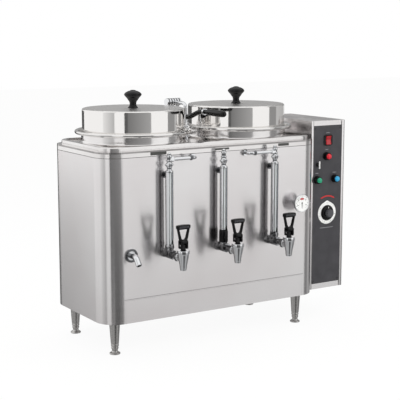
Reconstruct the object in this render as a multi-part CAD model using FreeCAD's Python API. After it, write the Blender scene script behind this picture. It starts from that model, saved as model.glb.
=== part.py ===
import FreeCAD, Part
import math
import os

os.makedirs("parts", exist_ok=True)

V = FreeCAD.Vector
xDir, yDir, zDir = V(1, 0, 0), V(0, 1, 0), V(0, 0, 1)

# Driving sizes, in millimetres
# Working frame: x to the right, y to the back, z up from the floor, zero in the plan middle of the urn

# Coffee liners: the jacket, the tank and the deck are sized round them
linerRadius = 127.0
linerDepth = 330.0
linerWall = 1.2
wellSpace = 99.0  # between the two liners
endSpace = 58.0  # from a liner to the jacket's end
wallSpace = 34.5  # from a liner to the jacket's rear, and as much plus the well's offset in front
wellBack = 7.0  # wells lie this far behind the middle
collarStep = 21.0  # collar outside the liner
brimOverhang = 18.5  # brim outside the collar
brimTube = 5.5
rollSteps = 16  # sides of the rolled edge's section
brimLedge = 2.0  # of the lid's ledge outside the lid
outletStub = 2.0  # outlet pipe's end let into the liner wall

# Jacket, the rounded stainless body
cornerRadius = 59.0
sheet = 1.5  # wall of every folded sheet
jacketBottom = 94.0
jacketHeight = 455.0
seatGap = 0.3  # gap where a cover lies in its opening

# Front and rear covers
accessHeight = 64.0
accessMargin = 2.5  # from the corner to the access opening
rearInset = 101.5  # from the jacket's end to the rear opening
rearHeight = 300.0
rearLift = 100.0  # from the jacket's lower edge to the rear opening
coverLap = 12.0

# Top deck
skirtHeight = 16.0
shelfWidth = 13.0
beadHeight = 12.0
beadWidth = 14.0
deckDrop = 5.0  # deck lies this far below the bead
collarRise = 25.0
collarFillet = 9.0
filletSteps = 8

# Brew baskets and lids
basketStep = 8.0  # basket inside the liner
basketDepth = 104.0
basketWall = 1.2
basketRimWidth = 19.0
basketRise = 42.0  # how far the basket stands above the brim
weepRadius = 5.0
weepCount = 12
weepRing = 60.0
lidStep = 3.0  # lid inside the collar
lidHeight = 60.0
lidWall = 1.2
lidEdge = 5.0
knobHeadRadius = 25.0
knobNeckRadius = 9.5
knobFootRadius = 16.0
knobScrewRadius = 3.0
knobScrewNut = 4.0
knobOutline = ((1.0, 0, 2), (0.72, 0, 6), (0, 1.0, 13), (0, 1.08, 20), (0, 1.5, 27))  # foot, neck, rise
knobDome = ((0.92, 31), (1.0, 34), (1.0, 36.5), (0.88, 41), (0.6, 46), (0.3, 50), (0, 51))  # head, rise
smallNutAcross = 12.0

# Water tank round the liners
tankGap = 24.0  # between jacket and tank
tankFloor = 20.0
tankTop = 12.0
tankCorner = 17.0  # tank corner under the jacket corner
elementRadius = 4.0
elementLift = 9.0  # from the flange's middle to each hairpin
elementPitch = 5.5  # between a hairpin's middle and its leg
elementReach = 210.0
heaterHole = 15.0
heaterFlange = 24.0
heaterFlangeThick = 6.0
heaterLift = 45.0  # above the tank floor
probeRadius = 3.0
probeLength = 120.0
probeHead = 8.0

# Legs
legInset = 50.0
legFrontInset = 46.0
legRearInset = 42.0
legTopRadius = 15.0
legEndRadius = 11.0
footHeight = 10.0
footRadius = 15.0
footNeck = 12.0
footNeckRadius = 8.0
footScrew = 18.0
footScrewSpare = 2.0
legFlangeRadius = 19.0
legFlange = 4.0

# Gauges and faucets
lineOff = 26.0  # gauge axis in front of the jacket
faucetOff = 98.0  # faucet axis in front of the jacket
outletRise = 14.0  # above the liner's bottom
shankRadius = 9.0
shankBore = 5.0
teeRadius = 13.0
teeNeck = 5.0
nutAcross = 24.0
nutLength = 8.0
glassRadius = 6.0
glassWall = 1.2
shieldRadius = 11.0
shieldWall = 1.2
shieldSlot = 12.0
shieldDrop = 43.0  # from the jacket's top to the shield's top
capHeight = 54.0
capRadius = 6.5
capBall = 8.8
capBallRise = 21.0
capFlangeRise = 30.0
capFlange = 3.0
capFlangeRadius = 8.1
capFoot = 4.0
capCone = 3.0
capTip = 6.0
capTipRadius = 3.9
bracketRadius = 4.5
bracketFlange = 2.5
bracketDrop = 9.0
airRadius = 4.6
airBore = 3.0
airRun = 88.5  # from the gauge to the tube's bend
airBend = 14.0
airRise = 35.0
airInside = 10.0
airSink = 3.5  # tube's end inside the cap
airSocketLength = 13.5
airNut = 15.6
airNutLength = 6.0
airSocketWall = 2.4
faucetRise = 22.0
faucetDrop = 33.0
faucetTopRadius = 17.2
faucetBand = 9.0
inletBoss = 3.0
inletBossLength = 10.0
inletBossSink = 4.0
spoutRadius = 10.0
spoutBore = 6.0
spoutLip = 14.0
spoutFlare = 1.2
bandStep = 1.4
chamberRadius = 8.0
chamberRoof = 6.0
seatDrop = 10.0
stemRadius = 4.0
stemFit = 0.05
stemLift = 4.0
stemSpare = 1.0
cupRadius = 7.4
cupHeight = 6.0

# Faucet handles
pivotRise = 13.5
pinRadius = 2.5
pinFit = 0.05
hubRadius = 13.0
hubWidth = 28.0
hubBack = 10.0  # half depth of the hub above its round end
tongueWidth = 11.0
tongueDepth = 9.0
forkGap = 0.5
forkFloor = 1.0
handleRise = 56.5
handleWidth = 45.0
handleThick = 13.0
webThick = 10.0
webInset = 3.0
webSink = 4.0
footInset = 2.0
barHeight = 12.0
barEdge = 3.9
windowTopWidth = 21.0
windowLowWidth = 10.0
windowRise = 18.5
windowCorner = 4.0
neckDrop = 2.0  # square neck ends below the window

# Thermometer
dialInset = 88.0  # from the jacket's right end
dialHeight = 382.5
dialRadius = 26.5
dialOff = 32.0
dialDeep = 11.0
dialRim = 1.8
dialStem = 6.0
dialStemInside = 10.0
dialNut = 17.0
dialNutLength = 5.0
dialGlassThick = 3.0
dialSetBack = 1.0

# Drain spout
drainInset = 79.0  # from the jacket's left end
drainRise = 2.0  # above the outlets
drainFlange = 19.0
drainFlangeThick = 3.0
drainTube = 7.8
drainBore = 5.6
drainReach = 28.0
drainOut = 17.0
drainDrop = 20.4
drainBend = 16.0

# Control box
boxWidth = 126.5
boxAbove = 49.5  # above the deck's skirt
boxBelow = 0.5  # below the jacket
boxFrontInset = 43.0
boxBackInset = 18.5
boxEdge = 3.0
panelMargin = 6.0
panelTopMargin = 15.0
panelLowMargin = 17.0
panelThick = 1.5
rockerX = 63.0
rockerDown = 60.0  # below the box's top
rockerWide = 25.0
rockerTall = 21.0
rockerAxis = 2.0  # behind the panel's face
rockerProud = 1.5
rockerEndGap = 1.5
rockerTipGap = 0.7
rockerPin = 1.5
rockerCaseWall = 1.0
rockerCaseRim = 0.5
rockerCaseBack = 4.0
bezelWide = 32.0
bezelTall = 28.5
bezelThick = 2.5
rockerDeep = 22.0
buttonRadius = 8.5
barrelRadius = 11.5
barrelLength = 9.0
buttonLength = 11.0
buttonTravel = 3.5
buttonSpare = 0.5
buttonDome = 5.0
buttonGap = 0.3
sleeveWall = 1.5
sleeveLength = 12.0
contactBlock = 8.0
plungerStep = 2.5
plungerLength = 10.0
redX, redDrop = 57.0, 48.5  # red button below the rocker
toggleX, toggleDrop = 25.5, 25.0  # toggle below the red button
greenX, blueX = 22.5, 90.5
buttonDrop = 46.0  # green and blue buttons below the toggle
toggleLength = 19.0
toggleRadius = 2.2
toggleRod = 1.4
toggleBall = 2.4
toggleAxis = 3.0
toggleBush = 6.0
bushBore = 4.0
bushLength = 7.0
socketRadius = 4.4
socketWall = 1.0
socketLength = 14.0
socketDepth = 10.0
knobX, timerDrop = 64.0, 105.0  # timer below the button row
timerRadius = 24.0
timerSkirt = 5.0
timerHeadRadius = 20.64
timerHead = 13.0
timerShaft = 3.0
timerShaftLength = 16.0
timerShaftSpare = 2.0
timerGrip = 9.0
timerStandOff = 1.0
timerBite = 25.0  # cutters that leave the grip start this far in front of the panel
timerBiteDeep = 17.0

# Spray arm between the wells
armBack = 10.0
riserRadius = 7.5
riserRise = 18.0  # above the brims
riserPin = 5.0
riserPinLength = 10.0
riserFoot = 4.0
riserNut = 19.0
riserNutLength = 9.0
riserNutLift = 1.0
armFit = 0.05
armGap = 0.3
armHub = 10.0
armHubHeight = 16.0
armTube = 5.0
armWall = 1.5
armBend = 15.0
armSink = 2.0
armPinSpare = 0.5
leverRise = 30.0
leverStart = 12.0
leverBack = 42.0
leverCorner = 7.0
leverBore = 0.8
gripStart = 112.0
gripLength = 88.0
gripRadius = 9.5
gripEnd = 6.65
headBack = 82.0
headRise = 48.0
headRadius = 11.0
headCore = 9.5
headLength = 48.0
headRibs = 6
nozzleInset = 8.0
nozzleDrop = 17.0

# Inside the control box
pumpRadius = 32.0
pumpLength = 80.0
pumpMotorLength = 48.0
pumpHeadLength = 24.0
pumpHeadRadius = 25.6
pumpFootWidth = 44.8
pumpFootLength = 40.0
pumpFootHeight = 16.0
pumpLift = 10.0
timerBody = 54.0
timerBodyDepth = 37.8

# Rear connections
inletInset = 111.5  # from the jacket's right end
inletRise = 50.0
inletRadius = 9.5
inletWall = 3.0
inletLength = 26.0
inletTail = 12.0
inletNut = 26.0
inletNutLength = 6.0
glandRadius = 14.0
glandBore = 11.0
glandLength = 14.0
screwRadius = 4.0
screwHeight = 2.2

# Worked-out sizes
wellPitch = 2 * linerRadius + wellSpace
jacketLength = wellPitch + 2 * (linerRadius + endSpace)
jacketDepth = 2 * (linerRadius + wellBack + wallSpace)
collarRadius = linerRadius + collarStep
brimRadius = collarRadius + brimOverhang
lidRadius = collarRadius - lidStep
basketRadius = linerRadius - basketStep
accessWidth = jacketLength - 2 * (cornerRadius + accessMargin)
rearWidth = jacketLength - 2 * rearInset
tankLength = jacketLength - 2 * tankGap
tankDepth = jacketDepth - 2 * tankGap
tankRadius = cornerRadius - tankCorner

# Worked-out places
front = -jacketDepth / 2
rear = jacketDepth / 2
side = jacketLength / 2
jacketTop = jacketBottom + jacketHeight
bandTop = jacketTop + skirtHeight
beadTop = bandTop + beadHeight
deckTop = beadTop - deckDrop
brimSeat = deckTop + collarRise
brimTop = brimSeat + 2 * brimTube
linerBottom = brimSeat - linerDepth
lidSeat = brimTop
lidTop = lidSeat + lidHeight
tankLow = jacketBottom + tankFloor
tankHigh = jacketTop - tankTop
wells = {"left": -wellPitch / 2, "right": wellPitch / 2}
outlets = {"left": -wellPitch / 2, "centre": 0.0, "right": wellPitch / 2}
airReach = wellPitch / 2 - airRun
gaugeY = front - lineOff
faucetY = front - faucetOff
outletHeight = linerBottom + outletRise
shieldTop = jacketTop - shieldDrop
bracketHeight = shieldTop - bracketDrop
airHeight = shieldTop + airRise
faucetTop = outletHeight + faucetRise
faucetBottom = outletHeight - faucetDrop
seatHeight = outletHeight - seatDrop
pivotHeight = faucetTop + pivotRise
handleTop = pivotHeight + handleRise
windowLow = pivotHeight + windowRise
dialX = side - dialInset
drainX = drainInset - side
drainHeight = outletHeight + drainRise
inletX = side - inletInset
inletHeight = jacketBottom + inletRise
boxTop = bandTop + boxAbove
boxBottom = jacketBottom - boxBelow
boxBack = rear - boxBackInset
panelFace = front + boxFrontInset
boxLeft = side
rockerHeight = boxTop - rockerDown
redHeight = rockerHeight - redDrop
toggleHeight = redHeight - toggleDrop
buttonHeight = toggleHeight - buttonDrop
timerHeight = buttonHeight - timerDrop
riserTop = brimTop + riserRise
leverHeight = riserTop + leverRise
headHeight = riserTop + headRise
foremost = faucetY - faucetTopRadius
rearmost = rear + inletLength
shift = V(-boxWidth / 2, -(foremost + rearmost) / 2, 0)
pieces = {}


def slab(length, depth, radius, low, high):
    """Upright prism with rounded corners."""
    box = Part.makeBox(length, depth, high - low, V(-length / 2, -depth / 2, low))
    return box.makeFillet(radius, [e for e in box.Edges if abs(e.tangentAt(e.FirstParameter).z) > 0.99])


def block(low, high):
    """Box between two corners."""
    size = high - low
    return Part.makeBox(size.x, size.y, size.z, low)


def rod(start, direction, radius, length):
    return Part.makeCylinder(radius, length, start, direction)


def pipe(start, direction, outer, inner, length):
    return rod(start, direction, outer, length).cut(rod(start, direction, inner, length))


def turned(points, x=0.0, y=0.0):
    """Round piece about an upright axis, from its half outline in (radius, height)."""
    wire = Part.makePolygon([V(x + r, y, z) for r, z in points + points[:1]])
    return Part.Face(wire).revolve(V(x, y, 0), zDir, 360)


def hexNut(centre, direction, across, bore, length):
    """Hexagon with a bore, starting at centre and running along direction."""
    corner = across / math.sqrt(3)
    ring = [V(corner * math.cos(math.radians(60 * i)), corner * math.sin(math.radians(60 * i)), 0)
            for i in range(7)]
    nut = Part.Face(Part.makePolygon(ring)).extrude(V(0, 0, length))
    nut = nut.cut(Part.makeCylinder(bore, length))
    nut.Placement = FreeCAD.Placement(centre, FreeCAD.Rotation(zDir, direction))
    return nut


def bentTube(points, bend, outer, inner):
    """Tube along straight runs joined by tangent arcs."""
    edges = []
    last = points[0]
    for before, corner, after in zip(points, points[1:], points[2:]):
        a = (before - corner).normalize()
        b = (after - corner).normalize()
        half = a.getAngle(b) / 2
        cut = bend / math.tan(half)
        start = corner + a * cut
        end = corner + b * cut
        middle = corner + (a + b).normalize() * (bend / math.sin(half) - bend)
        edges.append(Part.makeLine(last, start))
        edges.append(Part.Arc(start, middle, end).toShape())
        last = end
    edges.append(Part.makeLine(last, points[-1]))
    path = Part.Wire(edges)
    direction = (points[1] - points[0]).normalize()
    shapes = []
    for radius in (outer, inner):
        ring = Part.Wire(Part.makeCircle(radius, points[0], direction))
        shapes.append(path.makePipeShell([ring], True, False))
    return shapes[0].cut(shapes[1])


def keep(name, shape):
    """Store one node, moved so that zero is the middle of the whole footprint."""
    shape = shape.removeSplitter()
    shape.translate(shift)
    pieces[name] = shape


def frontHoles():
    """Everything that passes through the jacket's front sheet."""
    start = front - sheet
    deep = 3 * sheet
    holes = [rod(V(x, start, outletHeight), yDir, shankRadius, deep) for x in outlets.values()]
    holes += [rod(V(x, start, airHeight), yDir, airRadius, deep) for x in (-airReach, airReach)]
    holes.append(rod(V(drainX, start, drainHeight), yDir, drainTube, deep))
    holes.append(rod(V(dialX, start, dialHeight), yDir, dialStem, deep))
    return Part.Compound(holes)


def makeJacket():
    """Wrap with its front holes, the access opening and the rear opening."""
    wrap = slab(jacketLength, jacketDepth, cornerRadius, jacketBottom, jacketTop)
    wrap = wrap.cut(slab(jacketLength - 2 * sheet, jacketDepth - 2 * sheet, cornerRadius - sheet,
                         jacketBottom, jacketTop))
    wrap = wrap.cut(block(V(-accessWidth / 2, front - sheet, jacketBottom),
                          V(accessWidth / 2, front + 2 * sheet, jacketBottom + accessHeight)))
    low = jacketBottom + rearLift
    wrap = wrap.cut(block(V(-rearWidth / 2, rear - 2 * sheet, low),
                          V(rearWidth / 2, rear + sheet, low + rearHeight)))
    wrap = wrap.cut(frontHoles())
    wrap = wrap.cut(rod(V(inletX, rear - 2 * sheet, inletHeight), yDir, inletRadius, 3 * sheet))
    keep("jacket", wrap)


def makeCovers():
    """Front access panel with a lip behind the jacket, and the rear cover over its opening."""
    half = accessWidth / 2 - seatGap
    top = jacketBottom + accessHeight
    panel = block(V(-half, front, jacketBottom), V(half, front + sheet, top - seatGap))
    lip = block(V(-half, front + sheet, jacketBottom),
                V(half, front + 2 * sheet, top + coverLap))
    keep("access_panel", panel.fuse(lip))
    low = jacketBottom + rearLift - coverLap
    high = low + rearHeight + 2 * coverLap
    keep("rear_cover", block(V(-rearWidth / 2 - coverLap, rear, low),
                             V(rearWidth / 2 + coverLap, rear + sheet, high)))
    heads = []
    for x in (-rearWidth / 2 - coverLap / 2, 0, rearWidth / 2 + coverLap / 2):
        for z in (low + coverLap / 2, high - coverLap / 2):
            heads.append(rod(V(x, rear + sheet, z), yDir, screwRadius, screwHeight))
    inset = panelMargin + 2 * screwRadius
    for x in (boxLeft + inset, boxLeft + boxWidth - inset):
        for z in (boxBottom + panelLowMargin + 2 * screwRadius, boxTop - panelTopMargin - 2 * screwRadius):
            heads.append(rod(V(x, panelFace - panelThick, z), -yDir, screwRadius, screwHeight))
    keep("cover_screws", Part.Compound(heads))


def makeBase():
    """Pan that closes the underside."""
    inset = 2 * (sheet + seatGap)
    length = jacketLength - 2 * inset
    depth = jacketDepth - 2 * inset
    radius = cornerRadius - inset
    pan = slab(length, depth, radius, jacketBottom, jacketBottom + coverLap)
    pan = pan.cut(slab(length - 2 * sheet, depth - 2 * sheet, radius - sheet,
                       jacketBottom + sheet, jacketBottom + coverLap))
    keep("base_pan", pan)


def edgesAt(shape, height):
    return [e for e in shape.Edges if abs(e.CenterOfMass.z - height) < sheet / 10]


def deckStep(inset, low, high):
    return slab(jacketLength - 2 * inset, jacketDepth - 2 * inset, cornerRadius - inset, low, high)


def makeDeck():
    """Skirt, shelf, raised bead, sunk deck and the two drawn collars, one pressing."""
    bead = deckStep(shelfWidth, bandTop - sheet, beadTop)
    bead = bead.makeFillet(beadWidth / 3, edgesAt(bead, beadTop))
    deck = deckStep(0, jacketTop, bandTop).fuse(bead)
    deck = deck.cut(deckStep(shelfWidth + beadWidth, deckTop, beadTop))
    deck = deck.cut(deckStep(sheet, jacketTop, bandTop - sheet))
    deck = deck.cut(deckStep(shelfWidth + sheet, bandTop - 2 * sheet, deckTop - sheet))
    for x in wells.values():
        profile = [(collarRadius - sheet, deckTop - sheet), (collarRadius + collarFillet, deckTop - sheet),
                   (collarRadius + collarFillet, deckTop)]
        for i in range(1, filletSteps):
            angle = math.radians(90 * i / filletSteps)
            profile.append((collarRadius + collarFillet * (1 - math.sin(angle)),
                            deckTop + collarFillet * (1 - math.cos(angle))))
        profile += [(collarRadius, deckTop + collarFillet), (collarRadius, brimSeat),
                    (collarRadius - sheet, brimSeat)]
        deck = deck.fuse(turned(profile, x, wellBack))
        deck = deck.cut(rod(V(x, wellBack, jacketTop), zDir, collarRadius - sheet, brimTop - jacketTop))
    deck = deck.cut(rod(V(0, armBack, jacketTop), zDir, riserRadius - sheet, beadTop))
    keep("top_deck", deck)


def makeTank():
    """Closed water tank; the liners hang in its two top holes."""
    tank = slab(tankLength, tankDepth, tankRadius, tankLow, tankHigh)
    tank = tank.cut(slab(tankLength - 2 * sheet, tankDepth - 2 * sheet, tankRadius - sheet,
                         tankLow + sheet, tankHigh - sheet))
    reach = tankGap + 2 * sheet
    for x in wells.values():
        tank = tank.cut(rod(V(x, wellBack, tankHigh - 2 * sheet), zDir, linerRadius, 3 * sheet))
        tank = tank.cut(rod(V(x, front, outletHeight), yDir, shankRadius, reach))
    tank = tank.cut(rod(V(0, front, outletHeight), yDir, shankBore, reach))
    tank = tank.cut(rod(V(drainX, front, drainHeight), yDir, drainBore, reach))
    tank = tank.cut(rod(V(tankLength / 2 - 2 * sheet, 0, tankLow + heaterLift), xDir, heaterHole, 3 * sheet))
    tank = tank.cut(rod(V(0, -wellPitch / 4, tankHigh - 2 * sheet), zDir, probeRadius, 3 * sheet))
    stub = tankGap - sheet
    tank = tank.fuse(pipe(V(0, front + sheet + nutLength, outletHeight), yDir, shankRadius, shankBore,
                          stub - nutLength))
    tank = tank.fuse(pipe(V(drainX, front + sheet, drainHeight), yDir, drainTube, drainBore, stub))
    keep("water_tank", tank)


def makeHeaters():
    """Three hairpin elements on one flange at the control box end of the tank, and the level probe."""
    end = tankLength / 2
    z = tankLow + heaterLift
    shape = rod(V(end, 0, z), xDir, heaterFlange, heaterFlangeThick)
    shape = shape.fuse(rod(V(end - sheet, 0, z), xDir, heaterHole, sheet))
    for turn in range(3):
        angle = math.radians(120 * turn + 90)
        out = V(0, math.cos(angle), math.sin(angle))
        aside = V(0, -math.sin(angle), math.cos(angle)) * elementPitch
        middle = V(end - sheet, 0, z) + out * elementLift
        bend = Part.makeTorus(elementPitch, elementRadius, V(0, 0, 0), zDir, -180, 180, 180)
        for leg in (middle + aside, middle - aside):
            shape = shape.fuse(rod(leg, -xDir, elementRadius, elementReach))
        bend.Placement = FreeCAD.Placement(middle - xDir * elementReach,
                                           FreeCAD.Rotation(-xDir, aside, out, "XYZ"))
        shape = shape.fuse(bend)
    keep("heater_bundle", shape)
    probe = rod(V(0, -wellPitch / 4, tankHigh), zDir, 3 * probeRadius, probeHead)
    keep("level_probe", probe.fuse(rod(V(0, -wellPitch / 4, tankHigh), -zDir, probeRadius, probeLength)))


def makeLiners():
    """Each liner is a drawn cup, a spun brim welded on its edge and a welded outlet pipe."""
    start = front + sheet + nutLength
    for hand, x in wells.items():
        inner = linerRadius - linerWall
        cup = rod(V(x, wellBack, linerBottom), zDir, linerRadius, linerDepth)
        cup = cup.cut(rod(V(x, wellBack, linerBottom + linerWall), zDir, inner, linerDepth))
        cup = cup.cut(rod(V(x, start, outletHeight), yDir, shankRadius, wellBack - start))
        ledge = lidRadius + brimLedge
        valley = brimSeat + 2 * linerWall
        rollMiddle = brimRadius - brimTube
        rollInside = rollMiddle - brimTube
        brim = turned([(inner, brimSeat), (rollMiddle, brimSeat), (rollMiddle, brimSeat + brimTube),
                       (rollInside, brimSeat + brimTube), (rollInside, valley), (ledge, valley),
                       (ledge, brimTop), (inner, brimTop)], x, wellBack)
        section = []
        for i in range(rollSteps):
            angle = 2 * math.pi * i / rollSteps
            rise = brimTube * (1 + math.sin(angle))
            section.append((rollMiddle + brimTube * math.cos(angle), brimSeat + rise))
        brim = brim.fuse(turned(section, x, wellBack)).removeSplitter()
        outlet = pipe(V(x, start, outletHeight), yDir, shankRadius, shankBore,
                      wellBack - linerRadius + outletStub - start)
        outlet = outlet.cut(rod(V(x, wellBack, linerBottom), zDir, inner, linerDepth))
        keep(hand + "_liner", Part.Compound([cup, brim, outlet]))


def makeBaskets():
    """Brew baskets: rim on the brim, wall, floor with weep holes."""
    top = lidSeat + basketRise
    bottom = lidSeat - basketDepth
    for hand, x in wells.items():
        profile = [(0, bottom), (basketRadius, bottom), (basketRadius, lidSeat),
                   (basketRadius + basketRimWidth, lidSeat),
                   (basketRadius + basketRimWidth, lidSeat + basketWall),
                   (basketRadius + basketWall, lidSeat + basketWall),
                   (basketRadius + basketWall, top), (basketRadius - basketWall, top),
                   (basketRadius - basketWall, bottom + basketWall), (0, bottom + basketWall)]
        shape = turned(profile, x, wellBack)
        for i in range(weepCount):
            angle = math.radians(360 * i / weepCount)
            place = V(x + weepRing * math.cos(angle), wellBack + weepRing * math.sin(angle), bottom)
            shape = shape.cut(rod(place, zDir, weepRadius, basketWall))
        keep(hand + "_basket", shape)


def makeLids():
    """Deep polished lids with a rounded edge, each with its turned knob."""
    for hand, x in wells.items():
        shell = rod(V(x, wellBack, lidSeat), zDir, lidRadius, lidHeight)
        shell = shell.makeFillet(lidEdge, edgesAt(shell, lidTop))
        shell = shell.cut(rod(V(x, wellBack, lidSeat), zDir, lidRadius - lidWall, lidHeight - lidEdge))
        shell = shell.cut(rod(V(x, wellBack, lidSeat), zDir, lidRadius - lidEdge, lidHeight - lidWall))
        shell = shell.cut(rod(V(x, wellBack, lidSeat), zDir, knobScrewRadius, lidHeight))
        keep(hand + "_lid", shell)
        outline = [(0, lidTop), (knobFootRadius, lidTop)]
        outline += [(foot * knobFootRadius + neck * knobNeckRadius, lidTop + rise)
                    for foot, neck, rise in knobOutline]
        outline += [(head * knobHeadRadius, lidTop + rise) for head, rise in knobDome]
        knob = turned(outline, x, wellBack)
        low = V(x, wellBack, lidTop - lidWall - knobScrewNut)
        screw = rod(low, zDir, knobScrewRadius, lidWall + knobScrewNut)
        nut = hexNut(low, zDir, smallNutAcross, knobScrewRadius, knobScrewNut)
        keep(hand + "_lid_knob", knob.fuse(screw).fuse(nut))


def makeLegs():
    """Four tapered legs with a bolting flange and adjustable feet."""
    feet = []
    low = footHeight + footNeck
    flangeLow = jacketBottom - legFlange
    screw = footNeckRadius / 2
    for hand, x in (("left", legInset - side), ("right", side - legInset)):
        for end, y in (("front", front + legFrontInset), ("rear", rear - legRearInset)):
            leg = turned([(0, low), (legEndRadius, low), (legTopRadius, flangeLow),
                          (legFlangeRadius, flangeLow), (legFlangeRadius, jacketBottom),
                          (0, jacketBottom)], x, y)
            leg = leg.cut(rod(V(x, y, low), zDir, screw, footScrew + footScrewSpare))
            keep("leg_" + end + "_" + hand, leg)
            feet.append(turned([(0, 0), (footRadius - 1, 0), (footRadius, 1), (footRadius, footHeight / 2),
                                (footNeckRadius, footHeight), (footNeckRadius, low), (screw, low),
                                (screw, low + footScrew), (0, low + footScrew)], x, y))
    keep("leg_feet", Part.Compound(feet))


def makeTee(hand, x):
    """Shank through the jacket, tee under the gauge glass and the arm to the faucet."""
    start = front + sheet + nutLength
    end = faucetY + faucetTopRadius - inletBossSink
    neckTop = outletHeight + teeRadius + teeNeck
    shape = rod(V(x, start, outletHeight), -yDir, shankRadius, start - end)
    run = V(x, front - nutLength, outletHeight)
    shape = shape.fuse(rod(run, -yDir, teeRadius, 2 * (lineOff - nutLength)))
    shape = shape.fuse(rod(V(x, gaugeY, outletHeight), zDir, shieldRadius, neckTop - outletHeight))
    shape = shape.cut(rod(V(x, start, outletHeight), -yDir, shankBore, start - end))
    shape = shape.cut(rod(V(x, gaugeY, outletHeight), zDir, glassRadius - glassWall, neckTop - outletHeight))
    shape = shape.cut(rod(V(x, gaugeY, outletHeight + teeRadius), zDir, glassRadius, teeNeck))
    keep(hand + "_gauge_tee", shape)


def makeFaucet(hand, x):
    """Conical body with seat and chamber, bonnet tongue and hinge pin, and the stem in it."""
    bandLow = faucetTop - faucetBand
    body = turned([(0, faucetBottom), (spoutRadius, faucetBottom),
                   (spoutRadius + spoutFlare, faucetBottom + spoutLip),
                   (faucetTopRadius - bandStep, bandLow - 1), (faucetTopRadius, bandLow),
                   (faucetTopRadius, faucetTop), (0, faucetTop)], x, faucetY)
    left = x - tongueWidth / 2
    body = body.fuse(block(V(left, faucetY - tongueDepth / 2, faucetTop),
                           V(x + tongueWidth / 2, faucetY + tongueDepth / 2, pivotHeight)))
    body = body.fuse(rod(V(left, faucetY, pivotHeight), xDir, tongueDepth / 2, tongueWidth))
    body = body.fuse(rod(V(x - hubWidth / 2, faucetY, pivotHeight), xDir, pinRadius, hubWidth))
    inlet = V(x, faucetY + faucetTopRadius - inletBossSink, outletHeight)
    body = body.fuse(rod(inlet, yDir, shankRadius + inletBoss, inletBossLength))
    body = body.cut(rod(inlet, yDir, shankRadius, inletBossLength))
    body = body.cut(rod(V(x, faucetY, outletHeight), yDir, shankBore, faucetTopRadius))
    seat = V(x, faucetY, seatHeight)
    body = body.cut(rod(seat, zDir, chamberRadius, faucetTop - chamberRoof - seatHeight))
    body = body.cut(rod(V(x, faucetY, faucetBottom), zDir, spoutBore, seatHeight - faucetBottom))
    guideTop = pivotHeight - 2 * pinRadius
    body = body.cut(rod(seat, zDir, stemRadius + stemFit, guideTop - seatHeight))
    keep(hand + "_faucet", body)
    stem = rod(seat, zDir, stemRadius, guideTop - stemLift - stemSpare - seatHeight)
    keep(hand + "_faucet_stem", stem.fuse(rod(seat, zDir, cupRadius, cupHeight)))


def plate(points, y, thick):
    """Plate of the given outline in (x, z), centred on y."""
    wire = Part.makePolygon([V(px, y - thick / 2, pz) for px, pz in points + points[:1]])
    return Part.Face(wire).extrude(V(0, thick, 0))


def makeHandle(hand, x):
    """Black lever with a finger window, forked over the bonnet tongue."""
    y = faucetY
    neckTop = windowLow - neckDrop
    barLow = handleTop - barHeight
    handle = rod(V(x - hubWidth / 2, y, pivotHeight), xDir, hubRadius, hubWidth)
    handle = handle.fuse(block(V(x - hubWidth / 2, y - hubBack, pivotHeight),
                               V(x + hubWidth / 2, y + hubBack, neckTop)))
    foot = hubWidth / 2 - footInset
    head = handleWidth / 2 - webInset
    handle = handle.fuse(plate([(x - foot, neckTop - webSink), (x + foot, neckTop - webSink),
                                (x + head, barLow), (x - head, barLow)], y, webThick))
    bar = block(V(x - handleWidth / 2, y - handleThick / 2, barLow),
                V(x + handleWidth / 2, y + handleThick / 2, handleTop))
    handle = handle.fuse(bar.makeFillet(barEdge, bar.Edges))
    low, top = windowLowWidth / 2, windowTopWidth / 2
    handle = handle.cut(plate([(x - low, windowLow + windowCorner), (x, windowLow),
                               (x + low, windowLow + windowCorner), (x + top, barLow), (x - top, barLow)],
                              y, 4 * handleThick))
    fork = tongueWidth / 2 + forkGap
    slotLow = pivotHeight - hubRadius - forkFloor
    handle = handle.cut(block(V(x - fork, y - 2 * hubRadius, slotLow),
                              V(x + fork, y + 2 * hubRadius, slotLow + hubRadius + tongueDepth)))
    handle = handle.cut(rod(V(x - hubWidth, y, pivotHeight), xDir, pinRadius + pinFit, 2 * hubWidth))
    keep(hand + "_faucet_handle", handle)


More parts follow.
